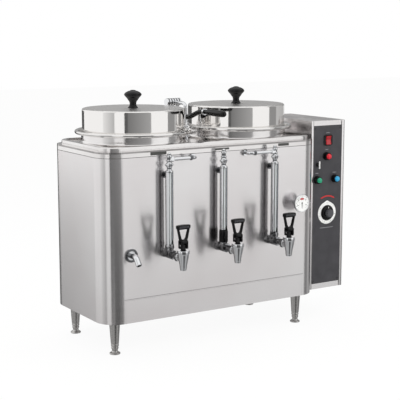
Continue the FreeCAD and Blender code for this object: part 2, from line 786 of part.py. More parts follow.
def makeGauges():
    """Glasses, slotted shields, top caps, brackets and nuts of the three gauges."""
    glasses, shields, caps, brackets, nuts = [], [], [], [], []
    glassLow = outletHeight + teeRadius
    shieldLow = glassLow + teeNeck
    shieldLength = shieldTop - shieldLow
    for hand, x in outlets.items():
        glasses.append(pipe(V(x, gaugeY, glassLow), zDir, glassRadius, glassRadius - glassWall,
                            shieldTop - glassLow))
        shield = pipe(V(x, gaugeY, shieldLow), zDir, shieldRadius, shieldRadius - shieldWall, shieldLength)
        shields.append(shield.cut(block(V(x - shieldSlot / 2, gaugeY - 2 * shieldRadius, shieldLow),
                                        V(x + shieldSlot / 2, gaugeY, shieldTop))))
        tip = shieldTop + capHeight
        cap = turned([(0, shieldTop), (shieldRadius, shieldTop), (shieldRadius, shieldTop + capFoot),
                      (capRadius, shieldTop + capFoot + capCone), (capRadius, tip - capTip),
                      (capTipRadius, tip), (0, tip)], x, gaugeY)
        cap = cap.fuse(Part.makeSphere(capBall, V(x, gaugeY, shieldTop + capBallRise)))
        cap = cap.fuse(rod(V(x, gaugeY, shieldTop + capFlangeRise), zDir, capFlangeRadius, capFlange))
        if hand != "centre":
            towards = xDir if hand == "left" else -xDir
            socket = V(x, gaugeY, airHeight)
            cap = cap.fuse(rod(socket, towards, airRadius + airSocketWall, airSocketLength))
            cap = cap.cut(rod(socket, towards, airRadius, airSocketLength))
        caps.append(cap)
        wall = V(x, front, bracketHeight)
        bracket = rod(wall, -yDir, bracketRadius, lineOff - shieldRadius + shieldWall / 2)
        bracket = bracket.fuse(rod(wall, -yDir, bracketRadius * 2, bracketFlange))
        brackets.append(bracket.cut(rod(V(x, gaugeY, shieldLow), zDir, shieldRadius, shieldLength)))
        nuts.append(hexNut(V(x, front, outletHeight), -yDir, nutAcross, shankRadius, nutLength))
        nuts.append(hexNut(V(x, front + sheet, outletHeight), yDir, nutAcross, shankRadius, nutLength))
        bossEnd = faucetY + faucetTopRadius - inletBossSink + inletBossLength
        nuts.append(hexNut(V(x, bossEnd, outletHeight), yDir, nutAcross, shankRadius, nutLength))
    keep("gauge_glasses", Part.Compound(glasses))
    keep("gauge_shields", Part.Compound(shields))
    keep("gauge_caps", Part.Compound(caps))
    keep("gauge_brackets", Part.Compound(brackets))
    keep("shank_nuts", Part.Compound(nuts))


def makeAirLines():
    """Air tubes from the two coffee gauges back into the jacket."""
    for hand, sign in (("left", -1), ("right", 1)):
        socket = outlets[hand] - sign * airSink
        points = [V(socket, gaugeY, airHeight), V(sign * airReach, gaugeY, airHeight),
                  V(sign * airReach, front + airInside, airHeight)]
        tube = bentTube(points, airBend, airRadius, airBore)
        nut = hexNut(V(sign * airReach, front, airHeight), -yDir, airNut, airRadius, airNutLength)
        keep(hand + "_air_line", tube.fuse(nut))


def makeDrain():
    """Front drain spout: flange, tube and a down-turned mouth."""
    corner = V(drainX, front - drainReach, drainHeight)
    points = [V(drainX, front + sheet, drainHeight), corner, corner - V(0, drainOut, drainDrop)]
    tube = bentTube(points, drainBend, drainTube, drainBore)
    flange = pipe(V(drainX, front, drainHeight), -yDir, drainFlange, drainTube, drainFlangeThick)
    keep("drain_spout", tube.fuse(flange))


def makeThermometer():
    """Dial case on its stem, and the glass-fronted dial in it."""
    face = V(dialX, front - dialOff, dialHeight)
    case = rod(face, yDir, dialRadius, dialDeep)
    case = case.cut(rod(face, yDir, dialRadius - dialRim, dialDeep - dialRim))
    case = case.fuse(rod(face + yDir * dialDeep, yDir, dialStem, dialOff - dialDeep + dialStemInside))
    collar = hexNut(V(dialX, front, dialHeight), -yDir, dialNut, dialStem, dialNutLength)
    keep("thermometer_case", case.fuse(collar))
    keep("thermometer_dial", rod(face + yDir * dialSetBack, yDir, dialRadius - dialRim, dialGlassThick))


def makeControlBox():
    """Folded case beside the jacket, open at the front behind the panel."""
    right = boxLeft + boxWidth
    case = block(V(boxLeft, panelFace, boxBottom), V(right, boxBack, boxTop))
    case = case.makeFillet(boxEdge, [e for e in case.Edges if e.CenterOfMass.z > boxTop - sheet
                                     and abs(e.tangentAt(e.FirstParameter).x) > 0.99])
    case = case.cut(block(V(boxLeft + sheet, panelFace + sheet, boxBottom + sheet),
                          V(right - sheet, boxBack - sheet, boxTop - sheet)))
    low = boxBottom + panelLowMargin
    high = boxTop - panelTopMargin
    case = case.cut(block(V(boxLeft + 2 * panelMargin, panelFace - sheet, low + panelMargin),
                          V(right - 2 * panelMargin, panelFace + 2 * sheet, high - panelMargin)))
    glandX = boxLeft + boxWidth / 2
    case = case.cut(rod(V(glandX, boxBack / 2, boxBottom), zDir, glandBore, sheet))
    keep("control_box", case)
    face = panelFace - panelThick
    panel = block(V(boxLeft + panelMargin, face, low), V(right - panelMargin, panelFace, high))
    for x, z in ((redX, redHeight), (greenX, buttonHeight), (blueX, buttonHeight)):
        panel = panel.cut(rod(V(boxLeft + x, face, z), yDir, buttonRadius, panelThick))
    middle = boxLeft + rockerX
    panel = panel.cut(block(V(middle - rockerWide / 2, face, rockerHeight - rockerTall / 2),
                            V(middle + rockerWide / 2, panelFace, rockerHeight + rockerTall / 2)))
    panel = panel.cut(rod(V(boxLeft + toggleX, face, toggleHeight), yDir, socketRadius, panelThick))
    panel = panel.cut(rod(V(boxLeft + knobX, face, timerHeight), yDir, timerShaft + armFit, panelThick))
    keep("control_panel", panel)
    gland = pipe(V(glandX, boxBack / 2, boxBottom), -zDir, glandRadius, glandBore, glandLength)
    keep("conduit_gland", gland)


def makeRocker(face):
    """Power rocker on its pin; returns its fixed bezel and case."""
    x = boxLeft + rockerX
    half, tall = rockerWide / 2, rockerTall / 2
    axis = V(x - half, face + rockerAxis, rockerHeight)
    bezel = block(V(x - bezelWide / 2, face - bezelThick, rockerHeight - bezelTall / 2),
                  V(x + bezelWide / 2, face, rockerHeight + bezelTall / 2))
    bezel = bezel.cut(block(V(x - half, face - bezelThick, rockerHeight - tall),
                            V(x + half, face, rockerHeight + tall)))
    case = block(V(x - half, face, rockerHeight - tall), V(x + half, face + rockerDeep, rockerHeight + tall))
    case = case.cut(block(V(x - half + rockerCaseWall, face, rockerHeight - tall + rockerCaseRim),
                          V(x + half - rockerCaseWall, face + rockerDeep - rockerCaseBack,
                            rockerHeight + tall - rockerCaseRim)))
    pin = rod(axis, xDir, rockerPin - pinFit, rockerWide)
    cap = rod(axis + xDir * rockerEndGap, xDir, tall - rockerTipGap, rockerWide - 2 * rockerEndGap)
    front = face - bezelThick - rockerProud
    cap = cap.common(block(V(x - half, front, rockerHeight - tall), V(x + half, front + rockerTall,
                                                                      rockerHeight + tall)))
    keep("power_rocker", cap.cut(rod(axis, xDir, rockerPin, rockerWide)))
    return bezel.fuse(case).fuse(pin)


def makeButton(name, x, z, face):
    """Domed push button; returns its fixed barrel, sleeve and contact block."""
    centre = V(boxLeft + x, face, z)
    body = pipe(centre, -yDir, barrelRadius, buttonRadius + buttonGap, barrelLength)
    body = body.fuse(pipe(centre, yDir, buttonRadius, buttonRadius - sleeveWall, sleeveLength))
    body = body.fuse(rod(centre + yDir * sleeveLength, yDir, buttonRadius, contactBlock))
    back = centre - yDir * (buttonTravel + buttonSpare)
    length = buttonLength + barrelLength - buttonTravel
    cap = rod(back, -yDir, buttonRadius, length)
    end = back.y - length + sheet / 10
    cap = cap.makeFillet(buttonDome, [e for e in cap.Edges if e.CenterOfMass.y < end])
    keep(name, cap.fuse(rod(back, yDir, buttonRadius - plungerStep, plungerLength)))
    return body


def makeControls():
    """Rocker, push buttons, toggle and timer knob with their fixed bodies."""
    face = panelFace - panelThick
    bodies = [makeRocker(face)]
    bodies.append(makeButton("red_button", redX, redHeight, face))
    bodies.append(makeButton("green_button", greenX, buttonHeight, face))
    bodies.append(makeButton("blue_button", blueX, buttonHeight, face))
    centre = V(boxLeft + toggleX, face, toggleHeight)
    bush = pipe(centre, -yDir, toggleBush, bushBore, bushLength)
    socket = rod(centre, yDir, socketRadius, socketLength)
    bodies.append(bush.fuse(socket.cut(rod(centre, yDir, socketRadius - socketWall, socketDepth))))
    pivot = centre + yDir * toggleAxis
    lever = rod(pivot, -yDir, toggleRod, toggleLength + toggleAxis)
    lever = lever.fuse(Part.makeSphere(toggleBall, pivot))
    keep("mode_toggle", lever.fuse(Part.makeSphere(toggleRadius, centre - yDir * toggleLength)))
    keep("switch_bodies", Part.Compound(bodies))
    makeTimer(V(boxLeft + knobX, face, timerHeight))


def makeTimer(centre):
    """Timer knob with a finger grip, and the clockwork it turns."""
    knob = rod(centre - yDir * timerStandOff, -yDir, timerRadius, timerSkirt)
    knob = knob.fuse(rod(centre - yDir * timerSkirt, -yDir, timerHeadRadius, timerHead))
    biteY = centre.y - timerBite
    for sign in (-1, 1):
        near = centre.x + sign * timerGrip / 2
        far = near + sign * timerRadius
        knob = knob.cut(block(V(min(near, far), biteY, centre.z - 1.5 * timerRadius),
                              V(max(near, far), biteY + timerBiteDeep, centre.z + 1.5 * timerRadius)))
    keep("timer_knob", knob.fuse(rod(centre - yDir * timerStandOff, yDir, timerShaft, timerShaftLength)))
    half = timerBody / 2
    clock = block(V(centre.x - half, panelFace, centre.z - half),
                  V(centre.x + half, panelFace + timerBodyDepth, centre.z + half))
    hole = rod(centre, yDir, timerShaft + armFit, timerShaftLength + timerShaftSpare)
    keep("timer_motor", clock.cut(hole))


def makePump():
    """Pump that sprays the brewing water, bolted to the floor of the control box."""
    floor = boxBottom + sheet
    centre = V(boxLeft + boxWidth / 2, boxBack / 2 - pumpLift - pumpLength, floor + pumpRadius + pumpLift)
    pump = rod(centre, yDir, pumpRadius, pumpMotorLength)
    pump = pump.fuse(rod(centre - yDir * pumpHeadLength, yDir, pumpHeadRadius, pumpHeadLength))
    foot = block(V(centre.x - pumpFootWidth / 2, centre.y, floor),
                 V(centre.x + pumpFootWidth / 2, centre.y + pumpFootLength, floor + pumpFootHeight))
    keep("brew_pump", pump.fuse(foot))


def makeSpray():
    """Riser between the wells, and the swinging arm with its ribbed head and grip."""
    riser = pipe(V(0, armBack, deckTop), zDir, riserRadius, riserPin, riserTop - deckTop)
    riser = riser.fuse(rod(V(0, armBack, riserTop - riserFoot), zDir, riserPin, riserPinLength + riserFoot))
    nut = V(0, armBack, brimTop + riserNutLift)
    riser = riser.fuse(hexNut(nut, zDir, riserNut, riserRadius - 1, riserNutLength))
    keep("spray_riser", riser.fuse(rod(V(0, armBack, deckTop), zDir, riserRadius + riserFoot, riserFoot)))
    hubLow = riserTop + armGap
    arm = rod(V(0, armBack, hubLow), zDir, armHub, armHubHeight)
    arm = arm.fuse(bentTube([V(0, armBack, hubLow + armHubHeight - armSink), V(0, armBack, headHeight),
                             V(0, headBack, headHeight)], armBend, armTube, armTube - armWall))
    left = V(-headLength / 2, headBack, headHeight)
    arm = arm.fuse(rod(left, xDir, headCore, headLength))
    ribWidth = headLength / (2 * headRibs - 1)
    for i in range(headRibs):
        arm = arm.fuse(rod(left + xDir * (2 * i * ribWidth), xDir, headRadius, ribWidth))
    arm = arm.fuse(rod(V(headLength / 2 - nozzleInset, headBack, headHeight), -zDir, armTube, nozzleDrop))
    arm = arm.cut(rod(V(0, armBack, hubLow), zDir, riserPin + armFit, riserPinLength + armPinSpare))
    keep("spray_arm", arm)
    hubSide = V(0, armBack - armHub, hubLow + armHubHeight / 2)
    lever = bentTube([hubSide, hubSide - yDir * leverStart, V(0, -leverBack, leverHeight),
                      V(0, -gripStart, leverHeight)], leverCorner, armTube, leverBore)
    grip = rod(V(0, -gripStart, leverHeight), -yDir, gripRadius, gripLength)
    tip = -gripStart - gripLength / 2
    grip = grip.makeFillet(gripEnd, [e for e in grip.Edges if e.Closed and e.CenterOfMass.y < tip])
    keep("spray_grip", lever.fuse(grip))


def makeInlet():
    """Threaded water inlet at the lower rear."""
    inlet = pipe(V(inletX, rear - inletTail, inletHeight), yDir, inletRadius, inletRadius - inletWall,
                 inletLength + inletTail)
    nut = hexNut(V(inletX, rear, inletHeight), yDir, inletNut, inletRadius - 1, inletNutLength)
    keep("water_inlet", inlet.fuse(nut))


makeJacket()
makeCovers()
makeBase()
makeDeck()
makeTank()
makeHeaters()
makeLiners()
makeBaskets()
makeLids()
makeLegs()
for hand, x in outlets.items():
    makeTee(hand, x)
    makeFaucet(hand, x)
    makeHandle(hand, x)
makeGauges()
makeAirLines()
makeDrain()
makeThermometer()
makeControlBox()
makeControls()
makePump()
makeSpray()
makeInlet()
for name, shape in pieces.items():
    shape.exportStep("parts/" + name + ".step")
whole = Part.Compound(list(pieces.values())).BoundBox
print(len(pieces), "nodes", whole)
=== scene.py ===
import math

import bmesh
import bpy
from mathutils import Matrix, Vector


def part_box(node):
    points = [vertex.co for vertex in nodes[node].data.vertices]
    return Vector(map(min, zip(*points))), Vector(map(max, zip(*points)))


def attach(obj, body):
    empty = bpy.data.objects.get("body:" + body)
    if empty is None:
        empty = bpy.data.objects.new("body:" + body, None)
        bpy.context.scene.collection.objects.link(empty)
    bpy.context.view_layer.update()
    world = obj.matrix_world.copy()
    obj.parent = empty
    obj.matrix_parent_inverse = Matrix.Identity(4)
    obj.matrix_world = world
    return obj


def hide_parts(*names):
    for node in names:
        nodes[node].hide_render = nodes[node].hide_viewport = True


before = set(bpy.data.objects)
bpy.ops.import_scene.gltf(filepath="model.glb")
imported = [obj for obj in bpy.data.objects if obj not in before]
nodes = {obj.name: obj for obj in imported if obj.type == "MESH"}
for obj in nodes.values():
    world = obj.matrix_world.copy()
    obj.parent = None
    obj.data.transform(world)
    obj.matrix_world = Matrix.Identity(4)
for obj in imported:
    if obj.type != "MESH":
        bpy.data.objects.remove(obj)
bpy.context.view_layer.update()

mm = 0.001
jacketLow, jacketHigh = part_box("jacket")
middleX = (jacketLow.x + jacketHigh.x) / 2
middleY = (jacketLow.y + jacketHigh.y) / 2
frontY = jacketLow.y
frontFace = (frontY - middleY) / mm  # the jacket's front, in mm from the plan middle
lineX = {"left": -176.5, "centre": 0.0, "right": 176.5}  # the three gauge and faucet lines
right, back, up = Vector((1, 0, 0)), Vector((0, 1, 0)), Vector((0, 0, 1))
print("frame loaded", len(nodes), "nodes")


def at(x, y, z):  # millimetres from the urn's plan middle and the floor
    return Vector((middleX + x * mm, middleY + y * mm, z * mm))


def step(x, y, z):  # a step in millimetres
    return Vector((x, y, z)) * mm


def middleOf(low, high, z=0.0):  # plan middle of a box, at a height in metres
    return Vector(((low.x + high.x) / 2, (low.y + high.y) / 2, z))


def linear(hexColour):  # sRGB hex to linear RGBA
    out = []
    for i in (0, 2, 4):
        c = int(hexColour[i:i + 2], 16) / 255
        out.append(c / 12.92 if c <= 0.04045 else ((c + 0.055) / 1.055) ** 2.4)
    return (*out, 1.0)


def addNode(tree, kind, settings=None, links=None):  # one node with its values and the links into it
    node = tree.nodes.new(kind)
    for key, value in (settings or {}).items():
        if isinstance(key, str) and hasattr(node, key) and key not in node.inputs:
            setattr(node, key, value)
        else:
            node.inputs[key].default_value = value
    for key, source in (links or {}).items():
        tree.links.new(source, node.inputs[key])
    return node


def clearTree(owner):  # the empty node tree of a material or a world
    owner.use_nodes = True
    owner.node_tree.nodes.clear()
    return owner.node_tree


metal = {"Metallic": 1.0}
grain = {"detail": 3.0, "rough": 0.6, "low": 0.3, "high": 0.7, "bump": 0.35,
         "patchDetail": 2.0, "patchLow": 0.35, "patchHigh": 0.65}


def newFinish(name, tone, shader, size, rough, depth, patches=None):
    # shader: values of the surface. size: grain along x, y, z in mm. rough: roughness from, to
    # depth: scratch depth in mm. patches: their size in mm and two tones
    mat = bpy.data.materials.new(name)
    tree = clearTree(mat)
    bsdf = addNode(tree, "ShaderNodeBsdfPrincipled", {"Base Color": linear(tone), **shader})
    addNode(tree, "ShaderNodeOutputMaterial", links={"Surface": bsdf.outputs[0]})
    place = addNode(tree, "ShaderNodeTexCoord").outputs["Object"]
    mapping = addNode(tree, "ShaderNodeMapping", {"Scale": [1 / (s * mm) for s in size]}, {"Vector": place})
    noise = addNode(tree, "ShaderNodeTexNoise", {"Scale": 1.0, "Detail": grain["detail"],
                                                 "Roughness": grain["rough"]}, {"Vector": mapping.outputs[0]})
    spread = addNode(tree, "ShaderNodeMapRange", {"From Min": grain["low"], "From Max": grain["high"],
                                                  "To Min": rough[0], "To Max": rough[1]},
                     {"Value": noise.outputs[0]})
    tree.links.new(spread.outputs[0], bsdf.inputs["Roughness"])
    bump = addNode(tree, "ShaderNodeBump", {"Strength": grain["bump"], "Distance": depth * mm},
                   {"Height": noise.outputs[0]})
    tree.links.new(bump.outputs[0], bsdf.inputs["Normal"])
    if patches:
        wide = addNode(tree, "ShaderNodeTexNoise", {"Scale": 1 / (patches[0] * mm),
                                                    "Detail": grain["patchDetail"]}, {"Vector": place})
        twoTones(tree, bsdf, wide.outputs[0], patches[1:], (grain["patchLow"], grain["patchHigh"]))
    return mat, tree, bsdf, noise


def twoTones(tree, bsdf, source, tones, places=(0.0, 1.0)):  # blends the base colour between two tones
    tint = addNode(tree, "ShaderNodeValToRGB", links={"Fac": source})
    for element, tone, place in zip(tint.color_ramp.elements, tones, places):
        element.color = linear(tone)
        element.position = place
    tree.links.new(tint.outputs[0], bsdf.inputs["Base Color"])


def facing(tree, axis, span, result=(0.0, 1.0)):  # a value that rises as the surface turns to an axis
    geometry = addNode(tree, "ShaderNodeNewGeometry")
    split = addNode(tree, "ShaderNodeSeparateXYZ", links={0: geometry.outputs["Normal"]})
    (start, end), (low, high) = span, result
    turned = addNode(tree, "ShaderNodeMapRange", {"From Min": start, "From Max": end, "To Min": low,
                                                  "To Max": high}, {"Value": split.outputs[axis]})
    return turned.outputs[0]


# Finishes
def brushedJacketSteel():  # stainless 304 sheet, belt brushed along the wrap: images smear upright
    mat, tree, bsdf, _ = newFinish("brushedJacketSteel", "EEEBEB",
                                   {"Metallic": 1.0, "Anisotropic": 0.85, "Anisotropic Rotation": 0.25},
                                   (90, 90, 0.8), (0.2, 0.26), 0.004, (260, "EBE7E7", "F1EFEF"))
    tangent = addNode(tree, "ShaderNodeTangent", {"direction_type": "RADIAL", "axis": "Z"})
    tree.links.new(tangent.outputs[0], bsdf.inputs["Tangent"])
    return mat


def satinDeckSteel():  # drawn stainless deck, satin with lengthwise grain: soft bright bands
    return newFinish("satinDeckSteel", "E6E3E2", metal, (60, 1.0, 1.0), (0.13, 0.18), 0.004,
                     (150, "E0DDDC", "ECEAE9"))[0]


lidTop = {"facing": (0.6, 0.98), "rough": (0.05, 0.28), "grain": 0.04}


def polishedLidSteel():  # spun and buffed lid: mirror wall and a finely turned, softer top
    mat, tree, bsdf, noise = newFinish("polishedLidSteel", "F0EEEC", metal, (1.4, 40, 40), (0.05, 0.09),
                                       0.003)
    top = facing(tree, "Z", lidTop["facing"], lidTop["rough"])
    add = addNode(tree, "ShaderNodeMath", {"operation": "MULTIPLY_ADD", 1: lidTop["grain"]},
                  {0: noise.outputs[0], 2: top})
    tree.links.new(add.outputs[0], bsdf.inputs["Roughness"])
    return mat


def spunLinerSteel():  # spun liner and brim: bright with faint rings
    return newFinish("spunLinerSteel", "EBE9E7", metal, (30, 30, 0.8), (0.08, 0.14), 0.004)[0]


def platedChrome():  # chrome plate on cast brass: mirror with the casting's slight waviness
    return newFinish("platedChrome", "E6E7E9", metal, (3, 3, 3), (0.04, 0.1), 0.02)[0]


def shadedRollSteel():  # painted shade under the deck's roll: a darker, duller grained steel band on the skirt
    return newFinish("shadedRollSteel", "A9A6A5", metal, (60, 60, 0.8), (0.22, 0.34), 0.006,
                     (120, "9C9998", "B2AFAE"))[0]


def castChromePaintedShade():  # plated castings, darkened as painted shade from the columns, with broken dark and bright patches as painted reflections
    return newFinish("castChromePaintedShade", "9A9A9C", metal, (5, 5, 5), (0.06, 0.16), 0.9, (9, "3A3A3C", "C9C9CB"))[0]


# back of the shield: facing range, then the front tone and the painted shade tone of the back
shieldBack = {"facing": (0.05, 0.35), "tones": ("E8E9EB", "A2A2A4")}


def shieldChrome():  # rolled shield: bright front, back faces painted darker as shade so that its image in the jacket darkens
    mat, tree, bsdf, _ = newFinish("shieldChrome", shieldBack["tones"][0], metal, (20, 20, 3), (0.05, 0.1),
                                   0.01)
    twoTones(tree, bsdf, facing(tree, "Y", shieldBack["facing"]), shieldBack["tones"])
    return mat


def dullFittingAndShadeSteel():  # compression fittings: dull dark steel, also used as the painted shade in the gauge caps' necks and screw hollows
    return newFinish("dullFittingAndShadeSteel", "77787A", metal, (2, 2, 2), (0.2, 0.36), 0.03)[0]


def turnedLegSteel():  # turned stainless legs: fine rings
    return newFinish("turnedLegSteel", "C6C4C2", metal, (20, 20, 0.9), (0.22, 0.34), 0.02)[0]


def mouldedPhenolic():  # black phenolic: deep gloss with faint moulding ripple
    return newFinish("mouldedPhenolic", "070708", {"IOR": 1.5, "Specular IOR Level": 0.28}, (7, 7, 7),
                     (0.1, 0.2), 0.06, (12, "060607", "0C0C0D"))[0]


def greyRibPhenolic():  # phenolic ribs and flutes: matt dark grey
    return newFinish("knobGrey", "4E4E52", {"IOR": 1.45}, (0.8, 0.8, 0.8), (0.45, 0.6), 0.01)[0]


def screenedPanelFilm():  # screened polyester overlay: charcoal with a fine pebble
    return newFinish("screenedPanelFilm", "3C3B3F", {"IOR": 1.5}, (1.0, 1.0, 1.0), (0.38, 0.5), 0.02,
                     (40, "39383C", "414044"))[0]


def lampPlastic(name, colour, glow):  # tinted acrylic cap, moulded: glossy with a slight glow
    shader = {"IOR": 1.49, "Coat Weight": 0.6, "Coat Roughness": 0.04, "Emission Color": linear(glow),
              "Emission Strength": 0.12}
    return newFinish(name, colour, shader, (2, 2, 2), (0.1, 0.2), 0.02)[0]


def printedInk(name, colour):  # screen print: slightly rough
    return newFinish(name, colour, {"IOR": 1.45}, (0.8, 0.8, 0.8), (0.45, 0.6), 0.01)[0]


def gaugeGlass():  # borosilicate tube: pale and hazy, letting little light through
    return newFinish("gaugeGlass", "E2E7E8", {"IOR": 1.47, "Transmission Weight": 0.25}, (6, 6, 30),
                     (0.02, 0.08), 0.01)[0]


def lensGlass():  # flat dial lens: clear
    return newFinish("lensGlass", "FFFFFF", {"IOR": 1.5, "Transmission Weight": 1.0, "Alpha": 0.18},
                     (15, 15, 15), (0.0, 0.03), 0.002)[0]


def machinedBrass():  # machined inlet fitting: warm, with tool rings
    return newFinish("machinedBrass", "C9A45C", metal, (1, 12, 1), (0.2, 0.32), 0.01)[0]


def paintedPump():  # semi-gloss enamel on the pump
    return newFinish("paintedPump", "30343C", {"IOR": 1.5}, (2, 2, 2), (0.3, 0.4), 0.03)[0]


def shadowGap():  # dust and shade where two sheets meet: a dark line
    return newFinish("shadowGap", "3A3836", {"IOR": 1.45}, (3, 3, 3), (0.6, 0.8), 0.02)[0]


jacketSteel = brushedJacketSteel()
deckSteel = satinDeckSteel()
lidSteel = polishedLidSteel()
linerSteel = spunLinerSteel()
chrome = platedChrome()
fittingAndShadeSteel = dullFittingAndShadeSteel()
bandSteel = shadedRollSteel()
casting = castChromePaintedShade()
shield = shieldChrome()
legSteel = turnedLegSteel()
phenolic = mouldedPhenolic()
panelFilm = screenedPanelFilm()
redLamp = lampPlastic("redAcrylic", "C8172B", "D01010")
rockerRed = lampPlastic("rockerRed", "A50E1C", "900810")
greenLamp = lampPlastic("greenAcrylic", "1E8F6C", "10A070")
blueLamp = lampPlastic("blueAcrylic", "2E9CC8", "2090D0")
whiteInk = printedInk("whiteInk", "F6F6F4")
dimInk = printedInk("dimInk", "9C9CA0")
knobGrey = greyRibPhenolic()
redInk = printedInk("redInk", "C62A2C")
blackInk = printedInk("blackInk", "222224")
dialCard = printedInk("dialCard", "FBFBFA")
stripInk = printedInk("greyStripFilm", "4A4A48")
tubeGlass = gaugeGlass()
dialLens = lensGlass()
brass = machinedBrass()
pumpPaint = paintedPump()
gapDark = shadowGap()
print("finishes ready")


def toObject(name, bm, sharp):  # sharp: edges above this angle in degrees stay crisp
    bmesh.ops.remove_doubles(bm, verts=bm.verts, dist=1e-6)
    bmesh.ops.recalc_face_normals(bm, faces=bm.faces)
    mesh = bpy.data.meshes.new(name)
    bm.to_mesh(mesh)
    bm.free()
    mesh.shade_smooth()
    mesh.set_sharp_from_angle(angle=math.radians(sharp))
    return newObject(name, mesh)


def newObject(name, data):
    obj = bpy.data.objects.new(name, data)
    bpy.context.scene.collection.objects.link(obj)
    return obj


def keepPiece(name, bm, sharp, body, mat, replaced=()):
    obj = toObject(name, bm, sharp)
    obj.data.materials.append(mat)
    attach(obj, body)
    if replaced:
        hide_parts(*replaced)


def takeMesh(name, data):  # the mesh of a curve or a text
    holder = newObject(name, data)
    mesh = bpy.data.meshes.new_from_object(holder)
    bpy.data.objects.remove(holder)
    return mesh


def soften(points, radius, steps=4):  # rounds each inner corner of an outline
    out = [points[0]]
    for a, b, c in zip(points, points[1:], points[2:]):
        va, vb, vc = Vector(a), Vector(b), Vector(c)
        cut = min(radius, (va - vb).length * 0.48, (vc - vb).length * 0.48)
        if cut < 1e-6:
            out.append(b)
            continue
        start = vb + (va - vb).normalized() * cut
        end = vb + (vc - vb).normalized() * cut
        for i in range(steps + 1):
            t = i / steps
            p = start * (1 - t) ** 2 + vb * 2 * t * (1 - t) + end * t ** 2
            out.append((p.x, p.y))
    out.append(points[-1])
    return out


def addLathe(bm, outline, origin, axis, steps=64, soft=None, ribs=0, ribDepth=0.0):
    # outline: (radius, along) in mm, turned round the axis at origin. soft: rounding in mm and its steps
    if soft:
        outline = soften(outline, *soft)
    place = Matrix.Translation(origin) @ up.rotation_difference(axis.normalized()).to_matrix().to_4x4()
    rings = []
    for r, z in outline:
        if r < 1e-4:
            rings.append([bm.verts.new(place @ step(0, 0, z))])
            continue
        ring = []
        for i in range(steps):
            a = 2 * math.pi * i / steps
            rr = r - ribDepth * (0.5 + 0.5 * math.cos(ribs * a)) if ribs and r > ribDepth * 3 else r
            ring.append(bm.verts.new(place @ step(rr * math.cos(a), rr * math.sin(a), z)))
        rings.append(ring)
    for low, high in zip(rings, rings[1:]):
        for i in range(steps):
            j = (i + 1) % steps
            if len(low) == 1 and len(high) == 1:
                continue
            if len(low) == 1:
                bm.faces.new((low[0], high[i], high[j]))
            elif len(high) == 1:
                bm.faces.new((low[i], low[j], high[0]))
            else:
                bm.faces.new((low[i], low[j], high[j], high[i]))


def addBox(bm, low, high, bevel=0.0, segments=3):  # corners in metres, bevel in mm
    matrix = Matrix.Translation((low + high) / 2) @ Matrix.Diagonal((*(high - low), 1))
    made = bmesh.ops.create_cube(bm, size=1.0, matrix=matrix)
    if bevel:
        edges = list({e for v in made["verts"] for e in v.link_edges})
        bmesh.ops.bevel(bm, geom=edges, offset=bevel * mm, segments=segments, profile=0.5, affect="EDGES")


def addPlate(bm, outline, origin, across, upward, thick, bevel=0.0, holes=()):
    # flat outline in mm (across, upward) with a rounded edge, thickness along the face normal
    curve = bpy.data.curves.new("plateOutline", "CURVE")
    curve.dimensions = "2D"
    curve.fill_mode = "BOTH"
    curve.extrude = max(thick / 2 - bevel, 0.0) * mm
    curve.bevel_depth = bevel * mm
    curve.bevel_resolution = 3
    curve.offset = -bevel * mm
    for ring in (outline, *holes):
        spline = curve.splines.new("POLY")
        spline.points.add(len(ring) - 1)
        for point, (a, b) in zip(spline.points, ring):
            point.co = (a * mm, b * mm, 0, 1)
        spline.use_cyclic_u = True
    mesh = takeMesh("plateOutline", curve)
    basis = Matrix((across, upward, across.cross(upward))).transposed().to_4x4()
    mesh.transform(Matrix.Translation(origin) @ basis)
    bm.from_mesh(mesh)
    bpy.data.curves.remove(curve)
    bpy.data.meshes.remove(mesh)


def arcPoints(radius, startDeg, endDeg, steps, cx=0.0, cy=0.0):
    out = []
    for i in range(steps + 1):
        a = math.radians(startDeg + (endDeg - startDeg) * i / steps)
        out.append((cx + radius * math.cos(a), cy + radius * math.sin(a)))
    return out


def circle(radius, count):
    return arcPoints(radius, 0, 360 - 360 / count, count - 1)


def roundedRing(length, depth, radius, steps=10):  # rounded rectangle, mm, anticlockwise
    out = []
    for k, (sx, sy) in enumerate(((1, 1), (-1, 1), (-1, -1), (1, -1))):
        out += arcPoints(radius, 90 * k, 90 * (k + 1), steps, sx * (length / 2 - radius),
                         sy * (depth / 2 - radius))
    return out


def makeScale(name, centre, radius, s):  # printed lines round a dial, clockwise
    bm = bmesh.new()
    for i in range(s["count"] + 1):
        angle = math.radians(s["start"] - s["sweep"] * i / s["count"])
        small = 0 if i % s["every"] == 0 else 1
        along = Vector((math.cos(angle), 0, math.sin(angle)))
        aside = Vector((-math.sin(angle), 0, math.cos(angle))) * s["wide"][small] * mm
        a = centre + along * (radius - s["long"][small]) * mm
        b = centre + along * radius * mm
        bm.faces.new([bm.verts.new(p) for p in (a - aside, a + aside, b + aside, b - aside)])
    keepPiece(name, bm, 38, "urn", blackInk)


# Nodes that keep their CAD shape; the others are chrome
nodeFinish = (
    (jacketSteel, ("jacket", "access_panel", "rear_cover", "base_pan", "control_box")),
    (deckSteel, ("top_deck",)), (lidSteel, ("left_lid", "right_lid")),
    (linerSteel, ("left_liner", "right_liner", "left_basket", "right_basket", "water_tank")),
    (fittingAndShadeSteel, ("heater_bundle", "level_probe", "gauge_brackets")), (tubeGlass, ("gauge_glasses",)),
    (panelFilm, ("control_panel",)), (pumpPaint, ("brew_pump",)),
    (phenolic, ("timer_motor", "switch_bodies")), (brass, ("water_inlet",)), (shield, ("gauge_shields",)),
    (casting, ("left_gauge_tee", "centre_gauge_tee", "right_gauge_tee", "shank_nuts")))
finishOf = {name: mat for mat, names in nodeFinish for name in names}
for name, obj in nodes.items():
    obj.data.materials.clear()
    obj.data.materials.append(finishOf.get(name, chrome))
    obj.data.polygons.foreach_set("material_index", [0] * len(obj.data.polygons))
print("sheet metal dressed")

